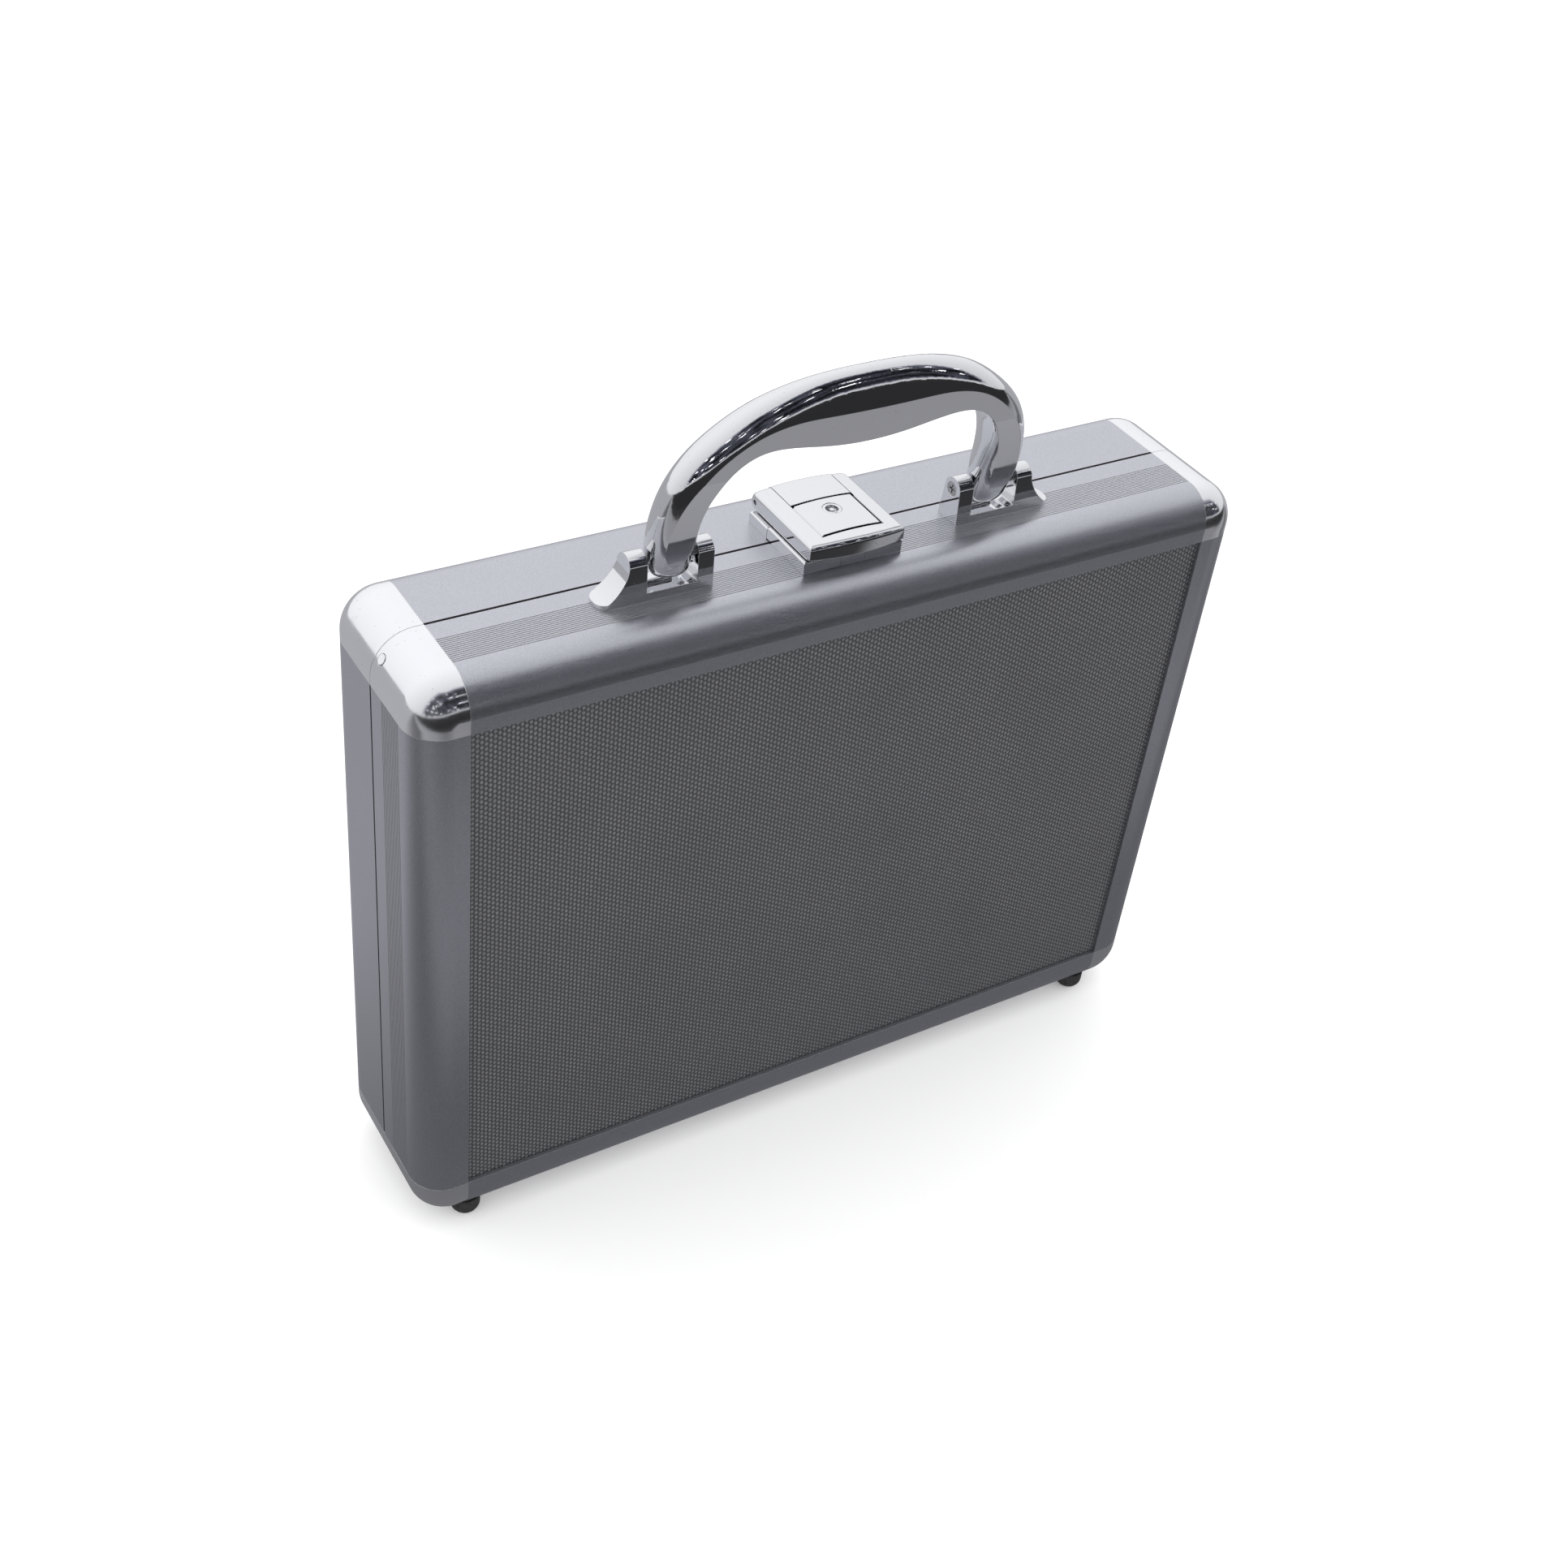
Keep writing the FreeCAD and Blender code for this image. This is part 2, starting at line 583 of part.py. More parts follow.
LEG_ROUNDNESS = 2.2        # inner side of the legs
GRIP_SQUARING = 6.0        # how much squarer the inner side gets as the widest line moves in
FLAT_HALF = (4.6, 6.1)     # half the distance between the handle's flats, low and high
FLAT_Z = (5.5, 38.0)       # heights where those apply
HANDLE_CLEAR = 70.0        # beyond the handle in every direction


def squircle(angle, roundness):
    """Point on a unit superellipse."""
    cosine = math.cos(angle)
    sine = math.sin(angle)
    power = 2 / roundness
    return (math.copysign(abs(cosine) ** power, cosine), math.copysign(abs(sine) ** power, sine))


def handle_section(outer, inner, half_depth, shift):
    """Closed section: round on the outside of the grip, flatter on the inside."""
    outer = V(outer[0], PIVOT_Y, outer[1])
    inner = V(inner[0], PIVOT_Y, inner[1])
    centre = (outer + inner) * 0.5 + (inner - outer) * 0.5 * shift
    points = []
    for index in range(SECTION_POINTS):
        angle = 2 * math.pi * (index + 0.5) / SECTION_POINTS
        outside = math.cos(angle) > 0
        roundness = OUTER_ROUNDNESS if outside else LEG_ROUNDNESS + GRIP_SQUARING * shift
        along, across = squircle(angle, roundness)
        half = outer - centre if outside else centre - inner
        points.append(centre + half * along + V(0, across * half_depth, 0))
    curve = Part.BSplineCurve()
    curve.interpolate(Points=points, PeriodicFlag=True)
    return Part.Wire(curve.toShape())


def handle_flats():
    """Slab that the handle is cut to: thinner at the legs' feet, even from the bends up."""
    side = [(FLAT_HALF[0], 0.0), (FLAT_HALF[0], FLAT_Z[0]), (FLAT_HALF[1], FLAT_Z[1]),
            (FLAT_HALF[1], HANDLE_CLEAR)]
    outline = [V(-HANDLE_CLEAR, PIVOT_Y + half, z) for half, z in side]
    outline += [V(-HANDLE_CLEAR, PIVOT_Y - half, z) for half, z in reversed(side)]
    return prism(outline, V(2 * HANDLE_CLEAR, 0, 0))


def handle():
    """Bail handle: one casting, thick in the palm and thinner in the legs, bored for its screws."""
    mirrored = [((-outer[0], outer[1]), (-inner[0], inner[1]), half_depth, shift)
                for outer, inner, half_depth, shift in HANDLE_SECTIONS[:-1]]
    sections = HANDLE_SECTIONS + mirrored[::-1]
    body = Part.makeLoft([handle_section(*section) for section in sections], True, False)
    body = body.common(handle_flats())
    body.rotate(V(0, PIVOT_Y, PIVOT_Z), X_AXIS, HANDLE_TILT)
    bore_start = EAR_INNER_X[1] - 1
    for sign in (-1, 1):
        start = V(sign * bore_start, PIVOT_Y, PIVOT_Z)
        body = body.cut(rod(PIVOT_SCREW_R + PIVOT_PLAY, start, V(sign, 0, 0), EAR_OUTER_X - bore_start))
    return raised(body, HANDLE_X)


# ---- Latch ----
def crowned(x_half, y, bottom):
    """Block with the latch's gently curved top."""
    drop = CROWN_DROP * (x_half / COVER_HALF_WIDTH) ** 2
    edges = [
        Part.LineSegment(V(-x_half, y[0], bottom), V(x_half, y[0], bottom)).toShape(),
        Part.LineSegment(V(x_half, y[0], bottom), V(x_half, y[0], CROWN_TOP - drop)).toShape(),
        Part.Arc(V(x_half, y[0], CROWN_TOP - drop), V(0, y[0], CROWN_TOP),
                 V(-x_half, y[0], CROWN_TOP - drop)).toShape(),
        Part.LineSegment(V(-x_half, y[0], CROWN_TOP - drop), V(-x_half, y[0], bottom)).toShape(),
    ]
    return Part.Face(Part.Wire(edges)).extrude(V(0, y[1] - y[0], 0))


def hasp_rod(radius):
    return rod(radius, V(-BEYOND, HASP_PIN_Y, HASP_PIN_Z), X_AXIS, 2 * BEYOND)


def latch_base():
    """Base on the front half, with the catch's notch and the cam's slot and undercut."""
    base = box((-LATCH_HALF_WIDTH, LATCH_HALF_WIDTH), (LATCH_FRONT, LATCH_SPLIT[0]), (0, BASE_TOP))
    top_edges = edges_where(base, lambda point: abs(point.z - BASE_TOP) < 1e-6)
    base = base.makeChamfer(LATCH_CHAMFER, top_edges)
    notch_x = CATCH_HALF_WIDTH + CATCH_GAP
    notch_y = (-BEYOND, LATCH_FRONT + CATCH_DEPTH + CATCH_GAP)
    notch = box((-notch_x, notch_x), notch_y, (-1, BEYOND))
    slot_x = (-CAM_SLOT_HALF_WIDTH, CAM_SLOT_HALF_WIDTH)
    slot = box(slot_x, (CAM_SLOT_FRONT, BEYOND), (CAM_FLOOR, BEYOND))
    undercut = rod(CAM_CAVITY_R, V(0, LOCK_Y, CAM_FLOOR), Z_AXIS, CAM_CAVITY_TOP - CAM_FLOOR)
    relief = box((-BEYOND, BEYOND), (BASE_RELIEF[0], BEYOND), (-1, BASE_RELIEF[1]))
    return raised(base.cut([notch, slot, undercut, relief]).removeSplitter(), LATCH_X)


def latch_catch():
    """Spring tab in the middle of the base's front wall."""
    y = (LATCH_FRONT, LATCH_FRONT + CATCH_DEPTH)
    tab = box((-CATCH_HALF_WIDTH, CATCH_HALF_WIDTH), y, (0, BASE_TOP))
    top_front = edges_where(tab, lambda point: point.z > 1 and abs(point.y - LATCH_FRONT) < 1e-6)
    return raised(tab.makeChamfer(LATCH_CHAMFER, top_front), LATCH_X)


def latch_keeper():
    keeper = box((-LATCH_HALF_WIDTH, LATCH_HALF_WIDTH), (LATCH_SPLIT[1], LATCH_REAR), (0, KEEPER_TOP))
    top_edges = edges_where(keeper, lambda point: abs(point.z - KEEPER_TOP) < 1e-6)
    return raised(keeper.makeChamfer(LATCH_CHAMFER, top_edges), LATCH_X)


def hinge_block():
    """Fixed block that carries the hasp pin; its front reaches a little over the base."""
    block = crowned(PLATE_HALF_WIDTH, (BLOCK_FRONT, COVER_REAR), KEEPER_TOP)
    overhang = box((-BEYOND, BEYOND), (0, LATCH_SPLIT[1] + LATCH_CHAMFER), (0, BASE_TOP + BLOCK_CLEAR))
    block = block.cut(overhang)
    rear_top = edges_where(block, lambda point: point.z > HASP_PIN_Z and point.y > HASP_PIN_Y)
    block = block.makeFillet(BLOCK_END_R, rear_top)
    return raised(block.cut(hasp_rod(HASP_PIN_R)), LATCH_X)


def hasp_pin():
    start = V(-HASP_PIN_HALF_LENGTH, HASP_PIN_Y, HASP_PIN_Z)
    return raised(rod(HASP_PIN_R, start, X_AXIS, 2 * HASP_PIN_HALF_LENGTH), LATCH_X)


def latch_cover():
    """U-shaped lever: two arms behind, a bulging finger bar in front."""
    cover = crowned(COVER_HALF_WIDTH, (COVER_FRONT, COVER_REAR), COVER_BOTTOM)
    bulge_y = COVER_FRONT + FRONT_BULGE_R
    cover = cover.common(rod(FRONT_BULGE_R, V(0, bulge_y, 0), Z_AXIS, BEYOND))
    opening = box((-COVER_OPENING, COVER_OPENING), (COVER_BAR_REAR, BEYOND), (0, BEYOND))
    arm_foot = box((-COVER_HALF_WIDTH, COVER_HALF_WIDTH), (LATCH_SPLIT[1], COVER_REAR),
                   (COVER_ARM_BOTTOM, COVER_BOTTOM))
    finger_gap = box((-BEYOND, BEYOND), (COVER_FRONT - 1, COVER_BAR_REAR - COVER_BAR_LIP),
                     (0, COVER_BAR_BOTTOM))
    cover = cover.fuse(arm_foot).cut([opening, finger_gap]).removeSplitter()
    at_rear = edges_where(cover, lambda point: abs(point.y - COVER_REAR) < 1e-6)
    rear_top = [edge for edge in at_rear if min(vertex.Z for vertex in edge.Vertexes) > HASP_PIN_Z]
    cover = cover.makeFillet(ARM_END_R[0], rear_top)
    at_rear = edges_where(cover, lambda point: abs(point.y - COVER_REAR) < 1e-6)
    rear_low = [edge for edge in at_rear if max(vertex.Z for vertex in edge.Vertexes) < COVER_BOTTOM]
    cover = cover.makeFillet(ARM_END_R[1], rear_low)
    rim = [edge for edge in cover.Edges if is_cover_rim(edge)]
    cover = cover.makeFillet(COVER_RIM_R, rim)
    ledges = [box(sorted((sign * LEDGE_X, sign * (COVER_OPENING + 1))), (PLATE_FRONT, LEDGE_REAR),
                  (COVER_BOTTOM, LEDGE_TOP)) for sign in (-1, 1)]
    cover = cover.fuse(ledges).cut(hasp_rod(HASP_PIN_R + HASP_PLAY))
    return raised(cover.removeSplitter(), LATCH_X)


def is_cover_rim(edge):
    """The cover's top edge along its front and its two sides."""
    points = [vertex.Point for vertex in edge.Vertexes]
    high = len(points) == 2 and min(point.z for point in points) > CROWN_TOP - 2 * CROWN_DROP
    in_front = all(point.y < COVER_BAR_REAR - COVER_BAR_LIP for point in points)
    beside = all(abs(point.x) > COVER_HALF_WIDTH - 0.1 for point in points)
    return high and (in_front or beside)


def lock_plate():
    """Plate inside the cover, with bevelled sides and the lock's bore."""
    plate = crowned(PLATE_HALF_WIDTH, (PLATE_FRONT, BLOCK_FRONT), LEDGE_TOP)
    plate = plate.cut(hasp_rod(PLATE_REAR_SWEEP_R))
    plate = max(plate.Solids, key=lambda solid: solid.Volume)
    side_edges = [edge for edge in plate.Edges if is_plate_side(edge)]
    plate = plate.makeChamfer(PLATE_BEVEL, side_edges)
    keel_x = LEDGE_X - LEDGE_PLAY
    plate = plate.fuse(box((-keel_x, keel_x), (PLATE_FRONT, LEDGE_REAR), (KEEL_BOTTOM, LEDGE_TOP)))
    plate = plate.cut(rod(LOCK_BORE_R, V(0, LOCK_Y, 0), Z_AXIS, BEYOND))
    return raised(plate.removeSplitter(), LATCH_X)


def is_plate_side(edge):
    points = [vertex.Point for vertex in edge.Vertexes]
    high = all(point.z > CROWN_TOP - CROWN_DROP for point in points)
    return high and len(points) == 2 and abs(points[0].x - points[1].x) < 0.01


def lock_cylinder():
    """Key plug: ring recess round a centre post, a key gate, and the spindle below."""
    floor = CROWN_TOP - KEYWAY_DEPTH
    plug = rod(LOCK_R, V(0, LOCK_Y, KEEL_BOTTOM), Z_AXIS, CROWN_TOP - LOCK_SUNK - KEEL_BOTTOM)
    recess = rod(KEYWAY_R, V(0, LOCK_Y, floor), Z_AXIS, BEYOND)
    gate = box((-KEY_GATE[0], KEY_GATE[0]), (LOCK_Y - KEY_GATE[1], LOCK_Y), (floor, BEYOND))
    post = rod(KEY_POST_R, V(0, LOCK_Y, KEEL_BOTTOM), Z_AXIS, CROWN_TOP - KEY_POST_TOP - KEEL_BOTTOM)
    spindle = rod(SPINDLE_R, V(0, LOCK_Y, CAM_Z[0]), Z_AXIS, KEEL_BOTTOM + LOCK_SUNK - CAM_Z[0])
    plug = plug.cut([recess, gate]).fuse([post, spindle])
    return raised(plug.removeSplitter(), LATCH_X)


def lock_cam():
    """Cam on the spindle. It points to the rear when unlocked."""
    height = CAM_Z[1] - CAM_Z[0]
    nose_y = LOCK_Y + CAM_REACH - CAM_WIDTH / 2
    arm = box((-CAM_WIDTH / 2, CAM_WIDTH / 2), (LOCK_Y, nose_y), CAM_Z)
    hub = rod(CAM_HUB_R, V(0, LOCK_Y, CAM_Z[0]), Z_AXIS, height)
    nose = rod(CAM_WIDTH / 2, V(0, nose_y, CAM_Z[0]), Z_AXIS, height)
    cam = arm.fuse([hub, nose])
    cam = cam.cut(rod(SPINDLE_R + SPINDLE_PLAY, V(0, LOCK_Y, 0), Z_AXIS, BASE_TOP))
    return raised(cam.removeSplitter(), LATCH_X)


# ---- Foam ----
def foam_slab(y, z, rounded):
    """Slab across the case; rounded says which ends ('low', 'high') have round corners."""
    reach = HALF_LENGTH - FOAM_INSET
    slab = box((-reach, reach), y, z)
    ends = [value for name, value in (("low", z[0]), ("high", z[1])) if name in rounded]
    edges = [edge for edge in upright_edges(slab, y[1] - y[0])
             if any(abs(edge.Vertexes[0].Z - end) < 1e-6 for end in ends)]
    return slab.makeFillet(FOAM_CORNER_R, edges) if edges else slab


def foam_base_pad():
    z = (BOTTOM + FOAM_INSET, TOP - FOAM_INSET)
    return foam_slab((FOAM_BACK, FOAM_BACK + FOAM_BASE_T), z, ("low", "high"))


def row_bounds():
    """Low and high Z of each row of pockets."""
    low = BOTTOM + FOAM_INSET + FOAM_RIM
    high = TOP - FOAM_INSET - FOAM_RIM
    height = (high - low - (POCKET_ROWS - 1) * FOAM_WALL) / POCKET_ROWS
    return [(low + row * (height + FOAM_WALL), low + row * (height + FOAM_WALL) + height)
            for row in range(POCKET_ROWS)]


def foam_rails():
    """Long strips between and around the rows of pockets."""
    y = (FOAM_BACK + FOAM_BASE_T, FOAM_MOUTH)
    rows = row_bounds()
    levels = [BOTTOM + FOAM_INSET] + [value for row in rows for value in row] + [TOP - FOAM_INSET]
    strips = []
    for index in range(0, len(levels), 2):
        rounded = {0: ("low",), len(levels) - 2: ("high",)}.get(index, ())
        strips.append(foam_slab(y, (levels[index], levels[index + 1]), rounded))
    return Part.makeCompound(strips)


def foam_dividers():
    """Short strips between the pockets of each row, and at its two ends."""
    y = (FOAM_BACK + FOAM_BASE_T, FOAM_MOUTH)
    reach = HALF_LENGTH - FOAM_INSET
    inside = 2 * (reach - FOAM_RIM)
    width = (inside - (POCKET_COLUMNS - 1) * FOAM_WALL) / POCKET_COLUMNS
    spans = [(-reach, -reach + FOAM_RIM), (reach - FOAM_RIM, reach)]
    for column in range(1, POCKET_COLUMNS):
        low = -reach + FOAM_RIM + column * width + (column - 1) * FOAM_WALL
        spans.append((low, low + FOAM_WALL))
    return Part.makeCompound([box(span, y, row) for row in row_bounds() for span in spans])


def lid_foam():
    z = (BOTTOM + FOAM_INSET, TOP - FOAM_INSET)
    return foam_slab((LID_FOAM_CREST, -FOAM_BACK), z, ("low", "high"))


# ---- Assembly ----
SIDES = {"top": (1, 0), "bottom": (-1, 0), "left": (0, -1), "right": (0, 1)}
CORNERS = {"top_left": (1, -1), "top_right": (1, 1), "bottom_left": (-1, -1), "bottom_right": (-1, 1)}
FOOT_HOLES = Part.makeCompound([foot_hole(-FOOT_X), foot_hole(FOOT_X)])


def half_shell(y_seam):
    outside = rounded_block(0, FACE, y_seam)
    inside = rounded_block(WALL, FACE + WALL, 1)
    return outside.cut(inside)


def frames():
    """Edge extrusions of both halves, drilled for what they carry."""
    shell = half_shell(-FRAME_SEAM / 2)
    pieces = {}
    top_front = [rivet_holes(BRACKET_PLACES, TOP, 1, 1), rivet_holes(BASE_PLACES, TOP, 1, 1)]
    top_rear = [rivet_holes(KEEPER_PLACES, TOP, 1, 1)]
    low_front = [rivet_holes(leaf_places(-HINGE_RIVET_Y), BOTTOM, -1, 1), FOOT_HOLES]
    low_rear = [rivet_holes(leaf_places(HINGE_RIVET_Y), BOTTOM, -1, 1), mirrored_y(FOOT_HOLES)]
    for name, (z_sign, x_sign) in SIDES.items():
        plain = frame(shell, z_sign, x_sign)
        front = plain.cut(ribs_on(z_sign, x_sign))
        rear = mirrored_y(plain)
        if name == "top":
            front = front.cut(top_front)
            rear = rear.cut(top_rear)
        if name == "bottom":
            front = front.cut(low_front)
            rear = rear.cut(low_rear)
        pieces["front_frame_" + name] = front
        pieces["rear_frame_" + name] = rear
    return pieces


def corners():
    shell = half_shell(-CORNER_SEAM / 2)
    pieces = {}
    holes = at_corners(RIVET_R + RIVET_RING, CORNER_SIZE / 2)
    for name, (z_sign, x_sign) in CORNERS.items():
        casting = corner(shell, z_sign, x_sign)
        pieces["front_corner_" + name] = casting.cut(holes)
        pieces["rear_corner_" + name] = mirrored_y(casting)
    pieces["front_corner_rivets"] = at_corners(RIVET_R, RIVET_LENGTH)
    return pieces


def hinges():
    pieces = {}
    for name, x in (("left", -HINGE_X), ("right", HINGE_X)):
        pieces["hinge_leaf_front_" + name] = hinge_leaf(x, True)
        pieces["hinge_leaf_rear_" + name] = hinge_leaf(x, False)
    pieces["hinge_pins"] = Part.makeCompound([hinge_pin(-HINGE_X), hinge_pin(HINGE_X)])
    pieces["hinge_rivets_front"] = rivets(leaf_places(-HINGE_RIVET_Y), BOTTOM, -1, LEAF_GRIP)
    pieces["hinge_rivets_rear"] = rivets(leaf_places(HINGE_RIVET_Y), BOTTOM, -1, LEAF_GRIP)
    return pieces


def all_pieces():
    pieces = {}
    pieces.update(frames())
    pieces.update(corners())
    pieces["front_panel"] = panel()
    pieces["rear_panel"] = mirrored_y(panel())
    pieces["seam_seal"] = seam_seal()
    feet = Part.makeCompound([foot(-FOOT_X), foot(FOOT_X)])
    pieces["feet_front"] = feet
    pieces["feet_rear"] = mirrored_y(feet)
    pieces.update(hinges())
    pieces["handle_bracket_right"] = handle_bracket(1)
    pieces["handle_bracket_left"] = handle_bracket(-1)
    pieces["bracket_rivets"] = rivets(BRACKET_PLACES, TOP, 1, BRACKET_GRIP)
    pieces["handle_pivot_screws"] = raised(both_sides(pivot_screw()), HANDLE_X)
    pieces["handle"] = handle()
    holes = rivet_holes(BASE_PLACES, TOP, 1, LATCH_GRIP + HOLE_DEEPER)
    pieces["latch_base"] = latch_base().cut(holes)
    pieces["latch_catch"] = latch_catch()
    pieces["latch_base_rivets"] = rivets(BASE_PLACES, TOP, 1, LATCH_GRIP)
    holes = rivet_holes(KEEPER_PLACES, TOP, 1, KEEPER_GRIP + HOLE_DEEPER)
    pieces["latch_keeper"] = latch_keeper().cut(holes)
    pieces["latch_keeper_rivets"] = rivets(KEEPER_PLACES, TOP, 1, KEEPER_GRIP)
    pieces["latch_hinge_block"] = hinge_block()
    pieces["latch_pin"] = hasp_pin()
    pieces["latch_cover"] = latch_cover()
    pieces["lock_plate"] = lock_plate()
    pieces["lock_cylinder"] = lock_cylinder()
    pieces["lock_cam"] = lock_cam()
    pieces["foam_base_pad"] = foam_base_pad()
    pieces["foam_rails"] = foam_rails()
    pieces["foam_dividers"] = foam_dividers()
    pieces["lid_foam"] = lid_foam()
    return pieces


os.makedirs("parts", exist_ok=True)
for node, shape in all_pieces().items():
    shape.exportStep("parts/" + node + ".step")
    print(node, "solids", len(shape.Solids), "valid", shape.isValid(), "volume", round(shape.Volume, 1))
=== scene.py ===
import bpy
import bmesh
import json
import math
from mathutils import Matrix, Vector


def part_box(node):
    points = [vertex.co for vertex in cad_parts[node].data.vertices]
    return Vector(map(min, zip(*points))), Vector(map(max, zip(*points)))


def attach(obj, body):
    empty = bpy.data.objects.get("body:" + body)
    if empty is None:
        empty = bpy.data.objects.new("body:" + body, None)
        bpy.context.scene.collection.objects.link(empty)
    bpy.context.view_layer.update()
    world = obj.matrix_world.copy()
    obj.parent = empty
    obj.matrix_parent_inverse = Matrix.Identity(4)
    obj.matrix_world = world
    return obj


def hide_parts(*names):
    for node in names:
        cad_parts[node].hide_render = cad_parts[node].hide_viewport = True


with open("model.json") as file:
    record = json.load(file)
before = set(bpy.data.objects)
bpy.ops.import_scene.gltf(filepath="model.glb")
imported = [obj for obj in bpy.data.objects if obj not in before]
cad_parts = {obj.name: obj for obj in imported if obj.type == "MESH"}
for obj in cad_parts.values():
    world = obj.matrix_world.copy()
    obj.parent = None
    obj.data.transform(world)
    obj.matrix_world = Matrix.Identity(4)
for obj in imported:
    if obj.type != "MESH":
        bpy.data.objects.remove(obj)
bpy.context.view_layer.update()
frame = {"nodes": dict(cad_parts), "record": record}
NODES = frame["nodes"]
MM = 0.001
PANEL_MIDDLE = (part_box("front_panel")[0].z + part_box("front_panel")[1].z) / 2


# ---- Camera ----
CAMERA_PLACE = Vector((-0.2939, -0.4145, 0.5196))
CAMERA_HEADING = math.radians(35.2)     # from +Y towards +X
CAMERA_TILT = math.radians(-38.68)
CAMERA_ROLL = math.radians(7.185)
CAMERA_LENS = 48.22
SENSOR_WIDTH = 36.0
CAMERA_SHIFT = 0.0021
CLIP_RANGE = (0.01, 100)


def make_camera():
    """A camera above the front left of the case, looking down at it."""
    level = Vector((math.cos(CAMERA_HEADING), -math.sin(CAMERA_HEADING), 0))
    forward = Vector((math.sin(CAMERA_HEADING) * math.cos(CAMERA_TILT),
                      math.cos(CAMERA_HEADING) * math.cos(CAMERA_TILT),
                      math.sin(CAMERA_TILT)))
    upright = level.cross(forward)
    right = level * math.cos(CAMERA_ROLL) + upright * math.sin(CAMERA_ROLL)
    back = -forward
    up = back.cross(right)
    data = bpy.data.cameras.new("camera")
    data.lens = CAMERA_LENS
    data.sensor_width = SENSOR_WIDTH
    data.shift_y = CAMERA_SHIFT
    data.clip_start, data.clip_end = CLIP_RANGE
    camera = bpy.data.objects.new("camera", data)
    bpy.context.scene.collection.objects.link(camera)
    turn = Matrix((right, up, back)).transposed().to_4x4()
    camera.matrix_world = Matrix.Translation(CAMERA_PLACE) @ turn
    bpy.context.scene.camera = camera


# ---- Node helpers ----
NEUTRAL = (1.0, 1.0, 1.0)
NOISE_SPAN = (0.3, 0.7)        # nearly all values of a noise lie between these
EDGE_COSINES = (0.99, 0.82)    # rounded against true normal: where an edge begins, and where it is full
EDGE_SAMPLES = 4
SOFT_EDGE_SAMPLES = 6


def add(tree, kind, inputs=None, **settings):
    """A shader node. Inputs are values or the sockets that feed them."""
    made = tree.nodes.new(kind)
    for key, value in settings.items():
        setattr(made, key, value)
    for key, value in (inputs or {}).items():
        if isinstance(value, bpy.types.NodeSocket):
            tree.links.new(value, made.inputs[key])
        else:
            made.inputs[key].default_value = value
    return made


def maths(tree, operation, *values):
    """Result of one maths node. Values are numbers or sockets."""
    return add(tree, "ShaderNodeMath", dict(enumerate(values)), operation=operation).outputs[0]


def remap(tree, value, low, high, to_low=0.0, to_high=1.0):
    """Value carried from low...high to to_low...to_high, and held at their ends."""
    inputs = {"Value": value, "From Min": low, "From Max": high, "To Min": to_low, "To Max": to_high}
    return add(tree, "ShaderNodeMapRange", inputs, clamp=True).outputs["Result"]


def noise(tree, place, scale, detail=2.0, roughness=0.5):
    """Noise from 0 to 1, with about so many waves in a metre."""
    inputs = {"Vector": place, "Scale": scale, "Detail": detail, "Roughness": roughness}
    return add(tree, "ShaderNodeTexNoise", inputs).outputs["Fac"]


def spread(tree, value, low=0.0, high=1.0):
    """A noise stretched to fill low...high."""
    return remap(tree, value, *NOISE_SPAN, low, high)


def spots(tree, place, scale, low, high):
    """Small round marks: 1 inside a cell's middle, 0 outside."""
    cell = add(tree, "ShaderNodeTexVoronoi", {"Vector": place, "Scale": scale})
    return remap(tree, cell.outputs["Distance"], low, high, 1, 0)


def blend(tree, share, first, second):
    """Colour mix. Share is a socket or a number."""
    mix = add(tree, "ShaderNodeMix", {"Factor": share}, data_type="RGBA")
    for socket, value in ((mix.inputs[6], first), (mix.inputs[7], second)):
        if isinstance(value, bpy.types.NodeSocket):
            tree.links.new(value, socket)
        else:
            socket.default_value = value
    return mix.outputs[2]


def grey(value, tint=NEUTRAL):
    """Linear colour of one brightness, slightly tinted."""
    return (value * tint[0], value * tint[1], value * tint[2], 1.0)


def edge_mask(tree, radius):
    """1 along sharp edges and 0 on flat ground."""
    rounded = add(tree, "ShaderNodeBevel", {"Radius": radius}, samples=EDGE_SAMPLES).outputs[0]
    plain = add(tree, "ShaderNodeNewGeometry").outputs["Normal"]
    dot = add(tree, "ShaderNodeVectorMath", {0: rounded, 1: plain}, operation="DOT_PRODUCT")
    return remap(tree, dot.outputs["Value"], *EDGE_COSINES)


def grain(scale, detail, roughness=0.5):
    """Height function for a bump of plain noise."""
    return lambda tree, place: noise(tree, place, scale, detail, roughness)


def dimples(scale, low, high):
    """Height function for a bump of small round marks."""
    return lambda tree, place: spots(tree, place, scale, low, high)


def finish_of(name, colour, roughness, bumps, soft_edge=None, **uniform):
    """A Principled material. Colour and roughness are functions of the tree and its coordinates;
    bumps is a list of (height function, distance in metres); soft_edge is a radius for edges."""
    material = bpy.data.materials.new(name)
    material.use_nodes = True
    tree = material.node_tree
    shader = tree.nodes["Principled BSDF"]
    place = add(tree, "ShaderNodeTexCoord").outputs["Object"]
    tree.links.new(colour(tree, place), shader.inputs["Base Color"])
    tree.links.new(roughness(tree, place), shader.inputs["Roughness"])
    for key, value in uniform.items():
        shader.inputs[key.replace("_", " ")].default_value = value
    normal = None
    if soft_edge:
        normal = add(tree, "ShaderNodeBevel", {"Radius": soft_edge}, samples=SOFT_EDGE_SAMPLES).outputs[0]
    for height, distance in bumps:
        inputs = {"Height": height(tree, place), "Distance": distance}
        if normal is not None:
            inputs["Normal"] = normal
        normal = add(tree, "ShaderNodeBump", inputs).outputs["Normal"]
    tree.links.new(normal, shader.inputs["Normal"])
    return material


# ---- Materials ----
# Tones are linear, scales are waves per metre, and a pair is a range.
COOL = (0.97, 0.985, 1.06)

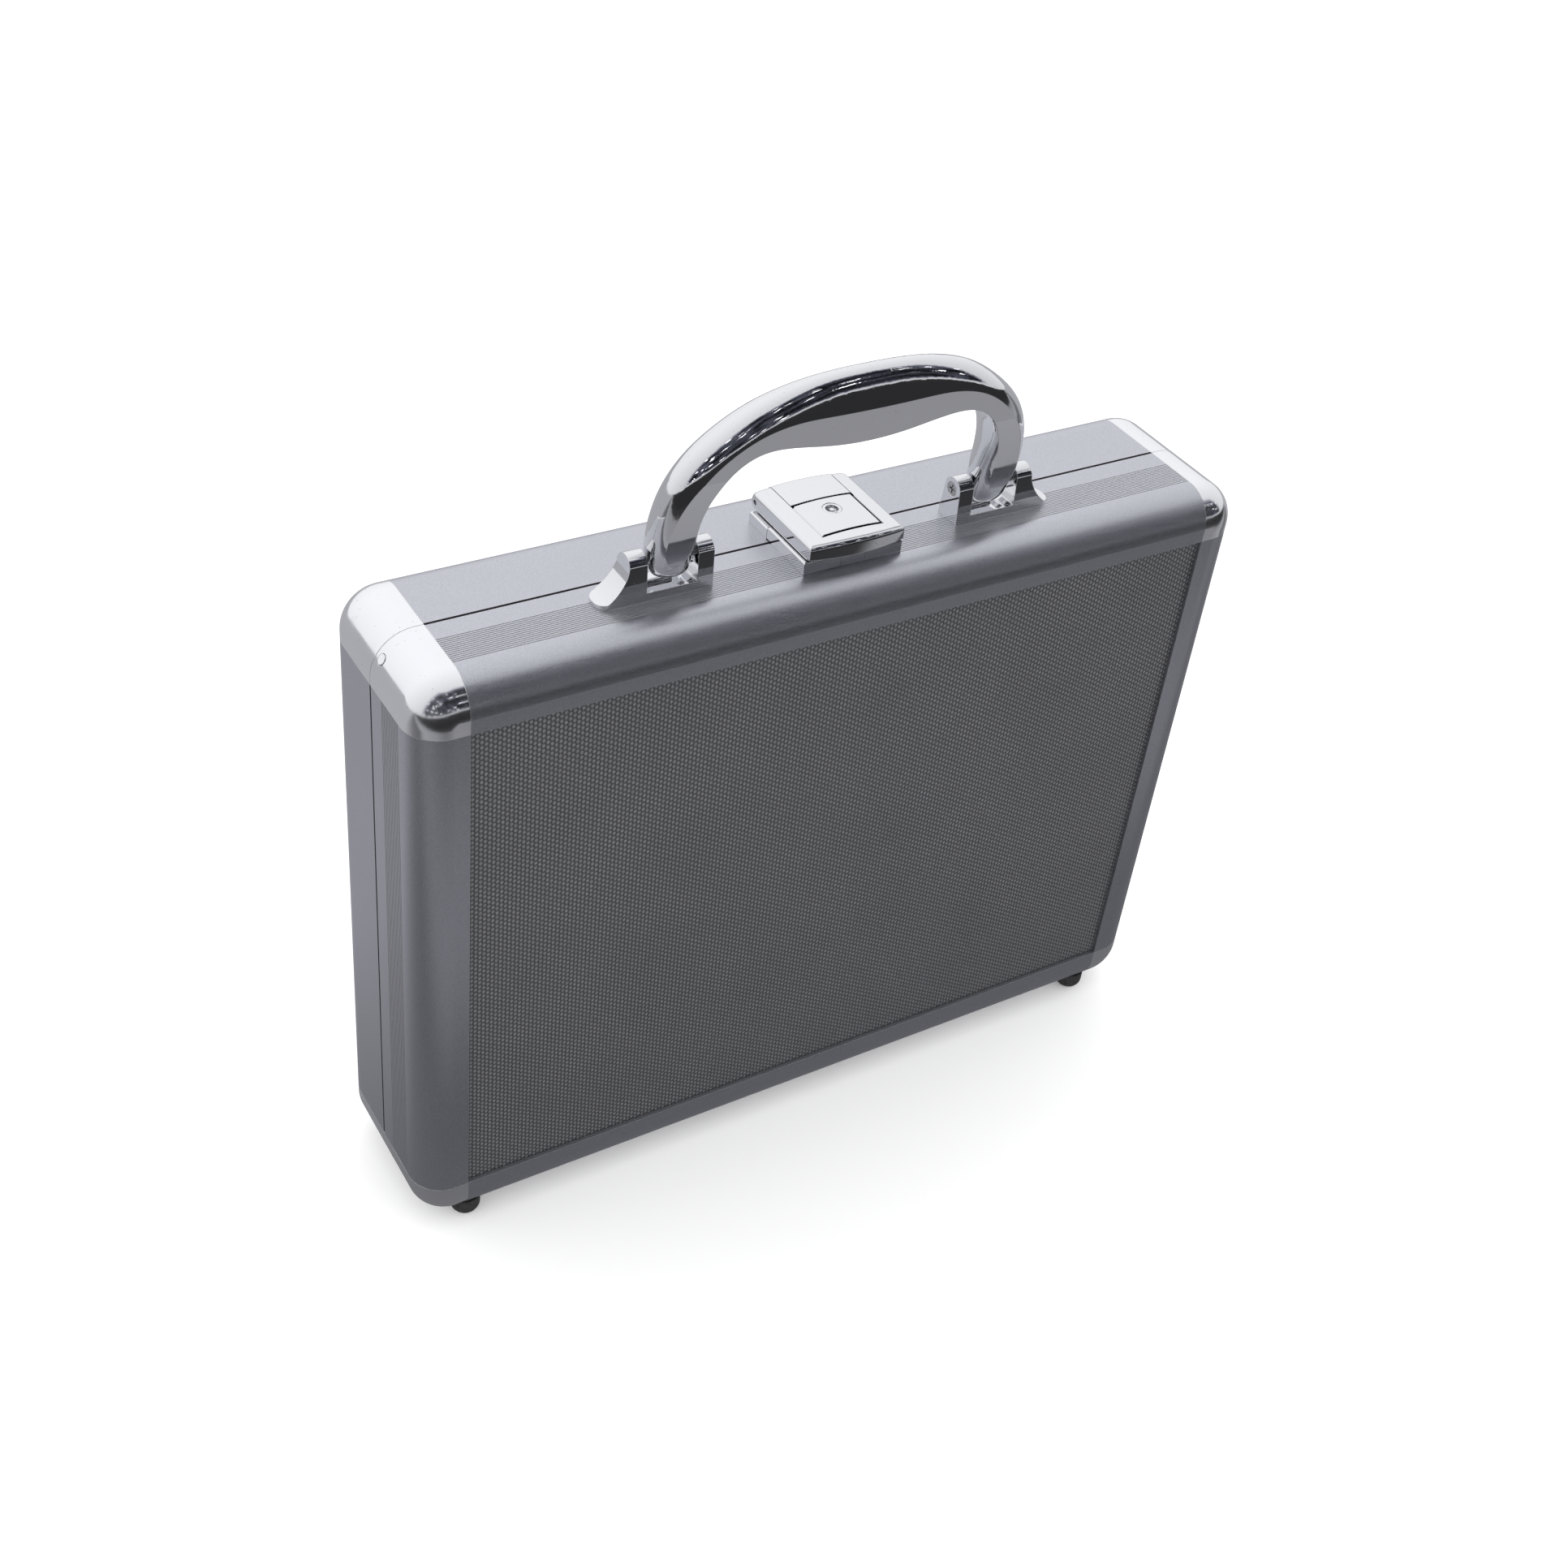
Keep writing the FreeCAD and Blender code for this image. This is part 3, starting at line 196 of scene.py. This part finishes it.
SATIN_TONES = (0.47, 0.62)
SATIN_CLOUD = grey(0.50, (0.98, 0.98, 1.06))
# lighter colour along edges: partly wear, partly a painted highlight
SATIN_EDGE_WEAR_AND_HIGHLIGHT = grey(0.85)
SATIN_EDGE_WIDTH = 0.35 * MM
SATIN_EDGE_SHARE = 0.6
SATIN_SOFT_EDGE = 0.15 * MM
SATIN_ROUGHNESS = (0.30, 0.42)
SATIN_GRAIN_DEPTH = 0.012 * MM


def satin_aluminium():
    """Bead-blasted and anodised aluminium: fine speckle, and slightly brighter edges that are partly wear
    and partly a painted highlight.
    """
    def colour(tree, place):
        speckle = noise(tree, place, 3200, detail=3, roughness=0.7)
        cloud = noise(tree, place, 22, detail=3)
        dark, light = [grey(tone, COOL) for tone in SATIN_TONES]
        base = blend(tree, remap(tree, speckle, 0.34, 0.66), dark, light)
        base = blend(tree, remap(tree, cloud, 0.35, 0.65, 0, 0.25), base, SATIN_CLOUD)
        # painted highlight, partly wear: the edge mask lightens the colour along every edge
        worn = maths(tree, "MULTIPLY", edge_mask(tree, SATIN_EDGE_WIDTH), SATIN_EDGE_SHARE)
        return blend(tree, worn, base, SATIN_EDGE_WEAR_AND_HIGHLIGHT)

    def roughness(tree, place):
        return spread(tree, noise(tree, place, 1600), *SATIN_ROUGHNESS)

    bumps = [(grain(2600, 2, 0.6), SATIN_GRAIN_DEPTH)]
    return finish_of("satin_aluminium_finish", colour, roughness, bumps, SATIN_SOFT_EDGE, Metallic=1.0)


PIT_SCALE = 620
PIT_TONE = grey(0.22)
PIT_DEPTH = 0.004 * MM
PEEL_DEPTH = 0.010 * MM
PLATING_TINT = (0.99, 0.995, 1.01)
PLATING_EDGE_WIDTH = 0.25 * MM
PLATING_EDGE_ROUGHNESS = 0.12
PLATING_SOFT_EDGE = 0.3 * MM


def polished(name, value, pits, rough_low, rough_high):
    """Plated casting: mirror-like, with a faint orange peel and small pits."""
    def colour(tree, place):
        marks = spots(tree, place, PIT_SCALE, 0.06, 0.16)
        patchy = remap(tree, noise(tree, place, 60), 0.45, 0.62)
        dark = maths(tree, "MULTIPLY", maths(tree, "MULTIPLY", marks, patchy), pits)
        return blend(tree, dark, grey(value, PLATING_TINT), PIT_TONE)

    def roughness(tree, place):
        smear = noise(tree, place, 90, detail=4, roughness=0.6)
        smear = remap(tree, smear, 0.35, 0.7, rough_low, rough_high)
        wear = maths(tree, "MULTIPLY", edge_mask(tree, PLATING_EDGE_WIDTH), PLATING_EDGE_ROUGHNESS)
        return maths(tree, "ADD", smear, wear)

    bumps = [(grain(260, 2), PEEL_DEPTH),
             (dimples(PIT_SCALE, 0.16, 0.05), PIT_DEPTH)]
    return finish_of(name, colour, roughness, bumps, PLATING_SOFT_EDGE, Metallic=1.0)


WEAVE_X = 1.25 * MM        # from one upright rib to the next
WEAVE_Z = 1.64 * MM        # from one dot to the next along a rib
WEAVE_HEIGHT = 0.20 * MM
RIB_SHARE = 0.38
DOT_SHARE = 0.62
WEAVE_EDGES = (-0.55, 0.45)    # relief at which the painted shade of the valleys begins and ends
# painted shade for the valleys of the weave
WEAVE_VALLEY_SHADE = grey(0.022)
WEAVE_CREST = (grey(0.10, COOL), grey(0.17, (0.97, 0.98, 1.08)))
WEAVE_WORN = grey(0.10, (0.95, 0.98, 1.1))
WEAVE_ROUGHNESS = (0.38, 0.52)
WEAVE_GRAIN_DEPTH = 0.01 * MM


def weave_height(x, z):
    """Upright ribs that carry staggered dots, from about -0.5 to 1."""
    rib = math.cos(2 * math.pi * x / WEAVE_X)
    dots = math.cos(math.pi * x / WEAVE_X) * math.cos(2 * math.pi * z / WEAVE_Z)
    return RIB_SHARE * rib + DOT_SHARE * dots


def woven_tone(tree, place):
    """The same ribs and dots as weave_height, as nodes."""
    axes = add(tree, "ShaderNodeSeparateXYZ", {"Vector": place}).outputs
    x = maths(tree, "MULTIPLY", axes["X"], math.pi / WEAVE_X)
    z = maths(tree, "SUBTRACT", axes["Z"], PANEL_MIDDLE)
    z = maths(tree, "MULTIPLY", z, 2 * math.pi / WEAVE_Z)
    rib = maths(tree, "COSINE", maths(tree, "MULTIPLY", x, 2.0))
    dots = maths(tree, "MULTIPLY", maths(tree, "COSINE", x), maths(tree, "COSINE", z))
    dots = maths(tree, "MULTIPLY", dots, DOT_SHARE)
    return maths(tree, "MULTIPLY_ADD", rib, RIB_SHARE, dots)


def textured_panel():
    """Dark moulded sheet with a woven relief; shade is painted into the valleys as darker colour."""
    def colour(tree, place):
        cloud = noise(tree, place, 30, detail=3)
        crest = blend(tree, spread(tree, noise(tree, place, 2400)), *WEAVE_CREST)
        worn = blend(tree, remap(tree, cloud, 0.4, 0.7, 0, 0.3), crest, WEAVE_WORN)
        # painted shade: the colour darkens in the relief's valleys
        return blend(tree, remap(tree, woven_tone(tree, place), *WEAVE_EDGES), WEAVE_VALLEY_SHADE, worn)

    def roughness(tree, place):
        return spread(tree, noise(tree, place, 900), *WEAVE_ROUGHNESS)

    bumps = [(grain(3000, 2), WEAVE_GRAIN_DEPTH)]
    return finish_of("textured_panel_finish", colour, roughness, bumps, Specular_IOR_Level=0.5)


DUST_GAIN = 1.9            # how much brighter dusty rubber is
RUBBER_GRAIN_DEPTH = 0.02 * MM


def rubber(name, value, rough_low, rough_high):
    """Matt black rubber with a little dust."""
    def colour(tree, place):
        dust = noise(tree, place, 700, detail=3, roughness=0.6)
        return blend(tree, remap(tree, dust, 0.35, 0.7), grey(value), grey(value * DUST_GAIN))

    def roughness(tree, place):
        return spread(tree, noise(tree, place, 400), rough_low, rough_high)

    bumps = [(grain(1500, 3), RUBBER_GRAIN_DEPTH)]
    return finish_of(name, colour, roughness, bumps)


STREAK_SCALE = (60, 2600, 2600)
STEEL_TONES = (grey(0.42, (1.0, 0.99, 0.96)), grey(0.62))
STEEL_ROUGHNESS = (0.24, 0.42)
STEEL_GRAIN_DEPTH = 0.008 * MM


def plated_steel():
    """Zinc-plated steel with drawing marks along X."""
    def colour(tree, place):
        along = add(tree, "ShaderNodeMapping", {"Vector": place, "Scale": STREAK_SCALE}).outputs[0]
        streak = noise(tree, along, 1, detail=3)
        return blend(tree, remap(tree, streak, 0.35, 0.65), *STEEL_TONES)

    def roughness(tree, place):
        return spread(tree, noise(tree, place, 500, detail=3), *STEEL_ROUGHNESS)

    bumps = [(grain(1800, 2), STEEL_GRAIN_DEPTH)]
    return finish_of("plated_steel_finish", colour, roughness, bumps, Metallic=1.0)


PORE_SCALE = 1400
# painted shade inside the pores
PORE_SHADE = grey(0.010)
PORE_DEPTH = 0.18 * MM
FOAM_TONES = (grey(0.026), grey(0.045))
FOAM_ROUGHNESS = (0.86, 0.98)
FOAM_GRAIN_DEPTH = 0.15 * MM


def foam_finish():
    """Open-cell foam: pores in the surface, with shade painted into them in the colour."""
    def colour(tree, place):
        pore_shade = spots(tree, place, PORE_SCALE, 0.10, 0.42)
        cloud = noise(tree, place, 90, detail=3)
        base = blend(tree, remap(tree, cloud, 0.35, 0.65), *FOAM_TONES)
        # painted shade: the pores' spots darken the colour
        return blend(tree, pore_shade, base, PORE_SHADE)

    def roughness(tree, place):
        return spread(tree, noise(tree, place, 800), *FOAM_ROUGHNESS)

    bumps = [(dimples(PORE_SCALE, 0.45, 0.08), PORE_DEPTH),
             (grain(300, 3), FOAM_GRAIN_DEPTH)]
    return finish_of("foam_finish", colour, roughness, bumps, Sheen_Weight=0.15)


FINISHES = {
    "satin_aluminium": satin_aluminium(),
    "bright_casting": polished("bright_casting_finish", 0.86, 0.55, 0.10, 0.20),
    "textured_panel": textured_panel(),
    "black_seal": rubber("black_seal_finish", 0.014, 0.45, 0.60),
    "black_rubber": rubber("black_rubber_finish", 0.020, 0.42, 0.62),
    "plated_steel": plated_steel(),
    "chrome": polished("chrome_finish", 0.78, 0.35, 0.03, 0.09),
    "foam": foam_finish(),
}


def dress_nodes():
    """Each CAD node's slots carry the record's names; give each its finish."""
    for node in NODES.values():
        for place in node.material_slots:
            place.material = FINISHES[place.material.name]


# ---- Mesh helpers ----
def piece(name, points, faces, finish, body):
    """A smooth mesh object with a finish, riding on a body."""
    mesh = bpy.data.meshes.new(name)
    mesh.from_pydata(points, [], faces)
    mesh.update()
    made = bpy.data.objects.new(name, mesh)
    bpy.context.scene.collection.objects.link(made)
    mesh.materials.append(FINISHES[finish])
    mesh.shade_smooth()
    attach(made, body)
    return made


def grid_faces(columns, rows, start=0, flip=False):
    """Quads of a grid whose points run column by column within each row."""
    faces = []
    for row in range(rows - 1):
        for column in range(columns - 1):
            low = start + row * columns + column
            quad = (low, low + 1, low + columns + 1, low + columns)
            faces.append(quad[::-1] if flip else quad)
    return faces


def rim_of(columns, rows):
    """Indices round a grid's outside, in order."""
    rim = list(range(columns))
    rim += [row * columns + columns - 1 for row in range(1, rows)]
    rim += [(rows - 1) * columns + column for column in range(columns - 2, -1, -1)]
    rim += [row * columns for row in range(rows - 2, 0, -1)]
    return rim


# ---- Woven face panels ----
PANEL_MARGIN = 0.6 * MM


def woven_panel(name, node, outward, body):
    """Sheet with the relief on its outer face and a plain back. Outward is -1 or 1 along Y."""
    low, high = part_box(node)
    face_y, back_y = (low.y, high.y) if outward < 0 else (high.y, low.y)
    half_columns = int((high.x - PANEL_MARGIN) / (WEAVE_X / 2))
    middle_z = (low.z + high.z) / 2
    half_rows = int((high.z - middle_z - PANEL_MARGIN) / (WEAVE_Z / 2))
    columns = 2 * half_columns + 1
    rows = 2 * half_rows + 1
    points = []
    for row in range(rows):
        z = (row - half_rows) * WEAVE_Z / 2
        for column in range(columns):
            x = (column - half_columns) * WEAVE_X / 2
            lift = WEAVE_HEIGHT * (weave_height(x, z) - 1)
            points.append((x, face_y + outward * lift, middle_z + z))
    faces = grid_faces(columns, rows, flip=outward > 0)
    rim = rim_of(columns, rows)
    start = len(points)
    points += [(points[index][0], back_y, points[index][2]) for index in rim]
    for index in range(len(rim)):
        after = (index + 1) % len(rim)
        side = (rim[index], start + index, start + after, rim[after])
        faces.append(side[::-1] if outward > 0 else side)
    back = tuple(range(start, start + len(rim)))
    faces.append(back if outward > 0 else back[::-1])
    made = piece(name, points, faces, "textured_panel", body)
    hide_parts(node)


# ---- Foam ----
POCKET_SOFTNESS = 1.1 * MM
SOFTNESS_STEPS = 3
SOFTNESS_ANGLE = math.radians(50)
FOAM_CORNER = 8.7 * MM
CORNER_STEPS = 8
CELL_SIDES = {(-1, 0): (0, 1), (0, 1): (1, 2), (1, 0): (2, 3), (0, -1): (3, 0)}   # cell beside: ring corners
CLOSE = 0.01 * MM
CRATE_PITCH = 21 * MM
CRATE_DEPTH = 11 * MM
CRATE_STEP = 2.4 * MM
CRATE_SHARPNESS = 0.8      # under 1 gives blunter peaks and hollows
CRATE_RIM = 3 * MM         # over this width the peaks settle towards the rim
CRATE_RIM_DROP = 0.55      # the rim's drop, as a share of the depth
CRATE_SHARP_ANGLE = math.radians(60)


def pocket_boxes():
    """The pockets' (low, high) corners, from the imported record."""
    found = []
    for opening in frame["record"]["physics"]["openings"]:
        if opening["name"].startswith("pocket"):
            found.append([Vector(corner) for corner in opening["box_m"]])
    return found


def breaks(boxes, axis, low, high):
    """Sorted ends of the pockets along one axis, with the foam's own ends."""
    ends = {round(corner[axis], 5) for box in boxes for corner in box}
    return [low] + sorted(ends) + [high]


def pocket_foam():
    """One block of foam with a pocket in each place, soft rims, and round outer corners."""
    boxes = pocket_boxes()
    low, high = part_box("foam_rails")
    floor_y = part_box("foam_base_pad")[0].y
    across = breaks(boxes, 0, low.x, high.x)
    upward = breaks(boxes, 2, low.z, high.z)
    mouth_y = high.y
    pocket_y = low.y
    shape = bmesh.new()
    made = {}

    def point(column, row, y):
        key = (column, row, y)
        if key not in made:
            made[key] = shape.verts.new((across[column], y, upward[row]))
        return made[key]

    def depth(column, row):
        inside = 0 <= column < len(across) - 1 and 0 <= row < len(upward) - 1
        if not inside:
            return floor_y
        return pocket_y if column % 2 and row % 2 else mouth_y

    for column in range(len(across) - 1):
        for row in range(len(upward) - 1):
            y = depth(column, row)
            ring = [(column, row), (column, row + 1), (column + 1, row + 1), (column + 1, row)]
            shape.faces.new([point(*corner, y) for corner in ring])
            shape.faces.new([point(*corner, floor_y) for corner in ring[::-1]])
            for (dx, dz), (a, b) in CELL_SIDES.items():
                beside = depth(column + dx, row + dz)
                if beside < y:
                    wall = [point(*ring[a], y), point(*ring[b], y),
                            point(*ring[b], beside), point(*ring[a], beside)]
                    shape.faces.new(wall[::-1])
    bmesh.ops.recalc_face_normals(shape, faces=shape.faces)
    outer = [edge for edge in shape.edges if is_outer_corner(edge, low, high)]
    bmesh.ops.bevel(shape, geom=outer, offset=FOAM_CORNER, segments=CORNER_STEPS, affect="EDGES",
                    profile=0.5)   # a true quarter circle
    mesh = bpy.data.meshes.new("pocket_foam")
    shape.to_mesh(mesh)
    shape.free()
    foam = bpy.data.objects.new("pocket_foam", mesh)
    bpy.context.scene.collection.objects.link(foam)
    mesh.materials.append(FINISHES["foam"])
    soften = foam.modifiers.new("rims", "BEVEL")
    soften.width = POCKET_SOFTNESS
    soften.segments = SOFTNESS_STEPS
    soften.limit_method = "ANGLE"
    soften.angle_limit = SOFTNESS_ANGLE
    mesh.shade_smooth()
    evened = foam.modifiers.new("normals", "WEIGHTED_NORMAL")
    evened.keep_sharp = False
    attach(foam, "front_shell")
    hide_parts("foam_rails", "foam_dividers", "foam_base_pad")


def is_outer_corner(edge, low, high):
    """True for the four edges along Y at the block's corners."""
    for vertex in edge.verts:
        at_x = min(abs(vertex.co.x - low.x), abs(vertex.co.x - high.x)) < CLOSE
        at_z = min(abs(vertex.co.z - low.z), abs(vertex.co.z - high.z)) < CLOSE
        if not (at_x and at_z):
            return False
    return abs(edge.verts[0].co.y - edge.verts[1].co.y) > CLOSE


def rounded_reach(z, low, high):
    """Half the width of a rectangle with round corners, at height z."""
    reach = (high.x - low.x) / 2
    into_corner = FOAM_CORNER - min(z - low.z, high.z - z)
    if into_corner <= 0:
        return reach
    return reach - FOAM_CORNER + math.sqrt(max(FOAM_CORNER ** 2 - into_corner ** 2, 0))


def crate_height(x, z):
    """Rounded peaks and hollows of profile-cut foam, from 0 to 1."""
    wave = math.cos(2 * math.pi * x / CRATE_PITCH) * math.cos(2 * math.pi * z / CRATE_PITCH)
    return 0.5 + 0.5 * math.copysign(abs(wave) ** CRATE_SHARPNESS, wave)


def crate_foam():
    """Lid pad of egg-crate foam; its peaks face the pockets."""
    low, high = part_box("lid_foam")
    columns = int((high.x - low.x) / CRATE_STEP) + 1
    rows = int((high.z - low.z) / CRATE_STEP) + 1
    middle_x = (low.x + high.x) / 2
    middle_z = (low.z + high.z) / 2
    points = []
    backs = []
    for row in range(rows):
        z = low.z + (high.z - low.z) * row / (rows - 1)
        reach = rounded_reach(z, low, high)
        for column in range(columns):
            side = 2 * column / (columns - 1) - 1
            x = middle_x + side * reach
            from_rim = min(reach - abs(side * reach), z - low.z, high.z - z)
            settled = min(from_rim / CRATE_RIM, 1)
            drop = CRATE_DEPTH * (1 - crate_height(x - middle_x, z - middle_z))
            drop = drop * settled + (1 - settled) * CRATE_DEPTH * CRATE_RIM_DROP
            points.append((x, low.y + drop, z))
            backs.append((x, high.y, z))
    faces = grid_faces(columns, rows)
    faces += grid_faces(columns, rows, start=len(points), flip=True)
    rim = rim_of(columns, rows)
    for index, here in enumerate(rim):
        after = rim[(index + 1) % len(rim)]
        faces.append((here, here + len(points), after + len(points), after))
    made = piece("lid_crate_foam", points + backs, faces, "foam", "rear_shell")
    made.data.set_sharp_from_angle(angle=CRATE_SHARP_ANGLE)
    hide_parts("lid_foam")


# ---- Stage ----
FLOOR_REACH = 8.0
FLOOR_COLOUR = 0.90
FLOOR_ROUGHNESS = 0.9
FLOOR_GLOW = 0.15          # lifts the floor to white for the camera alone
FLOOR_TINT = (0.98, 0.98, 1.04)
FLOOR_MIRRORED = ((-0.42, 0.03), (-0.30, 0.05), (-0.26, 0.32), (-0.19, 0.34), (-0.17, 0.40),
                  (-0.13, 0.34), (-0.10, 0.14), (0.0, 0.21), (0.12, 0.46))   # place along Y, and tone

SKY_SEEN = 1.0
SKY_SOFT = 1.35            # the even light that matt surfaces gather
HALL_DEPTH = (-0.35, 0.75)         # the hall brightens between these directions along Y
HALL_BRIGHTNESS = (0.80, 1.10)     # from this to this
HALL_RISE = (0.9, 1.05)            # and is so much of it at the horizon and overhead
HALL_TINT = (0.99, 0.995, 1.02)
DARK_DEPTH = (-0.48, -0.36)        # the dark side is full before the first, and gone after the second
DARK_HEIGHT = (0.06, 0.84)
DARK_SOFTNESS = 0.05
LAMP_CELLS = (5.0, 5.0, 13.0)      # lamps are wider than they are high
LAMP_EDGE = (0.15, 0.20)
LAMP_POWER = 3.5
MURK_TONES = (0.008, 0.16)
MURK_TINT = (0.80, 0.84, 1.10)

KEY_POWER = 3.0
KEY_SIZE = 1.2
KEY_PLACE = Vector((0.4, 0.9, 1.9))


def make_floor():
    """Pale floor. Metal reflects it as darker patches, as in a hall with stands and aisles."""
    corners = [(x * FLOOR_REACH, y * FLOOR_REACH, 0) for x, y in ((-1, -1), (1, -1), (1, 1), (-1, 1))]
    mesh = bpy.data.meshes.new("floor")
    mesh.from_pydata(corners, [], [(0, 1, 2, 3)])
    floor = bpy.data.objects.new("floor", mesh)
    bpy.context.scene.collection.objects.link(floor)
    material = bpy.data.materials.new("floor_finish")
    material.use_nodes = True
    tree = material.node_tree
    shader = tree.nodes["Principled BSDF"]
    shader.inputs["Roughness"].default_value = FLOOR_ROUGHNESS
    shader.inputs["Specular IOR Level"].default_value = 0.0
    ray = add(tree, "ShaderNodeLightPath").outputs
    place = add(tree, "ShaderNodeTexCoord").outputs["Object"]
    depth = add(tree, "ShaderNodeSeparateXYZ", {"Vector": place}).outputs["Y"]
    mirrored = grey(FLOOR_MIRRORED[0][1], FLOOR_TINT)
    for (low, _), (high, tone) in zip(FLOOR_MIRRORED, FLOOR_MIRRORED[1:]):
        mirrored = blend(tree, remap(tree, depth, low, high), mirrored, grey(tone, FLOOR_TINT))
    in_metal = ray["Is Glossy Ray"]
    tree.links.new(blend(tree, in_metal, grey(FLOOR_COLOUR), grey(0.0)), shader.inputs["Base Color"])
    tree.links.new(blend(tree, in_metal, grey(1.0), mirrored), shader.inputs["Emission Color"])
    glow = maths(tree, "MULTIPLY_ADD", ray["Is Camera Ray"], FLOOR_GLOW, in_metal)
    tree.links.new(glow, shader.inputs["Emission Strength"])
    mesh.materials.append(material)


def band(tree, value, low, high, soft):
    """1 between low and high, falling to 0 over soft outside them."""
    rise = remap(tree, value, low - soft, low)
    fall = remap(tree, value, high, high + soft, 1, 0)
    return maths(tree, "MULTIPLY", rise, fall)


def make_world():
    """Bright hall behind and overhead, a darker side in front with small lamps."""
    world = bpy.data.worlds.new("world")
    bpy.context.scene.world = world
    world.use_nodes = True
    tree = world.node_tree
    background = tree.nodes["Background"]
    direction = add(tree, "ShaderNodeTexCoord").outputs["Generated"]
    axes = add(tree, "ShaderNodeSeparateXYZ", {"Vector": direction}).outputs
    behind = remap(tree, axes["Y"], *HALL_DEPTH, *HALL_BRIGHTNESS)
    bright = maths(tree, "MULTIPLY", behind, remap(tree, axes["Z"], 0.0, 1.0, *HALL_RISE))
    front = remap(tree, axes["Y"], *DARK_DEPTH, 1.0, 0.0)
    dark = maths(tree, "MULTIPLY", front, band(tree, axes["Z"], *DARK_HEIGHT, DARK_SOFTNESS))
    cells = add(tree, "ShaderNodeMapping", {"Vector": direction, "Scale": LAMP_CELLS}).outputs[0]
    lamps = spots(tree, cells, 1.0, *LAMP_EDGE)
    murk = remap(tree, noise(tree, direction, 5, detail=4), 0.40, 0.75, *MURK_TONES)
    dark_level = maths(tree, "ADD", murk, maths(tree, "MULTIPLY", lamps, LAMP_POWER))
    dark_colour = blend(tree, lamps, grey(1.0, MURK_TINT), grey(1.0))
    level = blend(tree, dark, bright, dark_level)
    colour = blend(tree, dark, grey(1.0, HALL_TINT), dark_colour)
    ray = add(tree, "ShaderNodeLightPath").outputs
    in_metal = ray["Is Glossy Ray"]
    plain = maths(tree, "MULTIPLY_ADD", ray["Is Camera Ray"], SKY_SEEN - SKY_SOFT, SKY_SOFT)
    tree.links.new(blend(tree, in_metal, grey(1.0), colour), background.inputs["Color"])
    tree.links.new(blend(tree, in_metal, plain, level), background.inputs["Strength"])


def make_key_light():
    """Large soft lamp behind and above, for the soft shadow in front."""
    data = bpy.data.lights.new("key", "AREA")
    data.shape = "DISK"
    data.size = KEY_SIZE
    data.energy = KEY_POWER
    key = bpy.data.objects.new("key", data)
    bpy.context.scene.collection.objects.link(key)
    key.location = KEY_PLACE
    key.visible_glossy = False
    key.rotation_mode = "QUATERNION"
    key.rotation_quaternion = KEY_PLACE.to_track_quat("Z", "Y")


make_camera()
dress_nodes()
woven_panel("front_panel_weave", "front_panel", -1, "front_shell")
woven_panel("rear_panel_weave", "rear_panel", 1, "rear_shell")
pocket_foam()
crate_foam()
make_floor()
make_world()
make_key_light()
bpy.context.scene.view_settings.view_transform = "Standard"
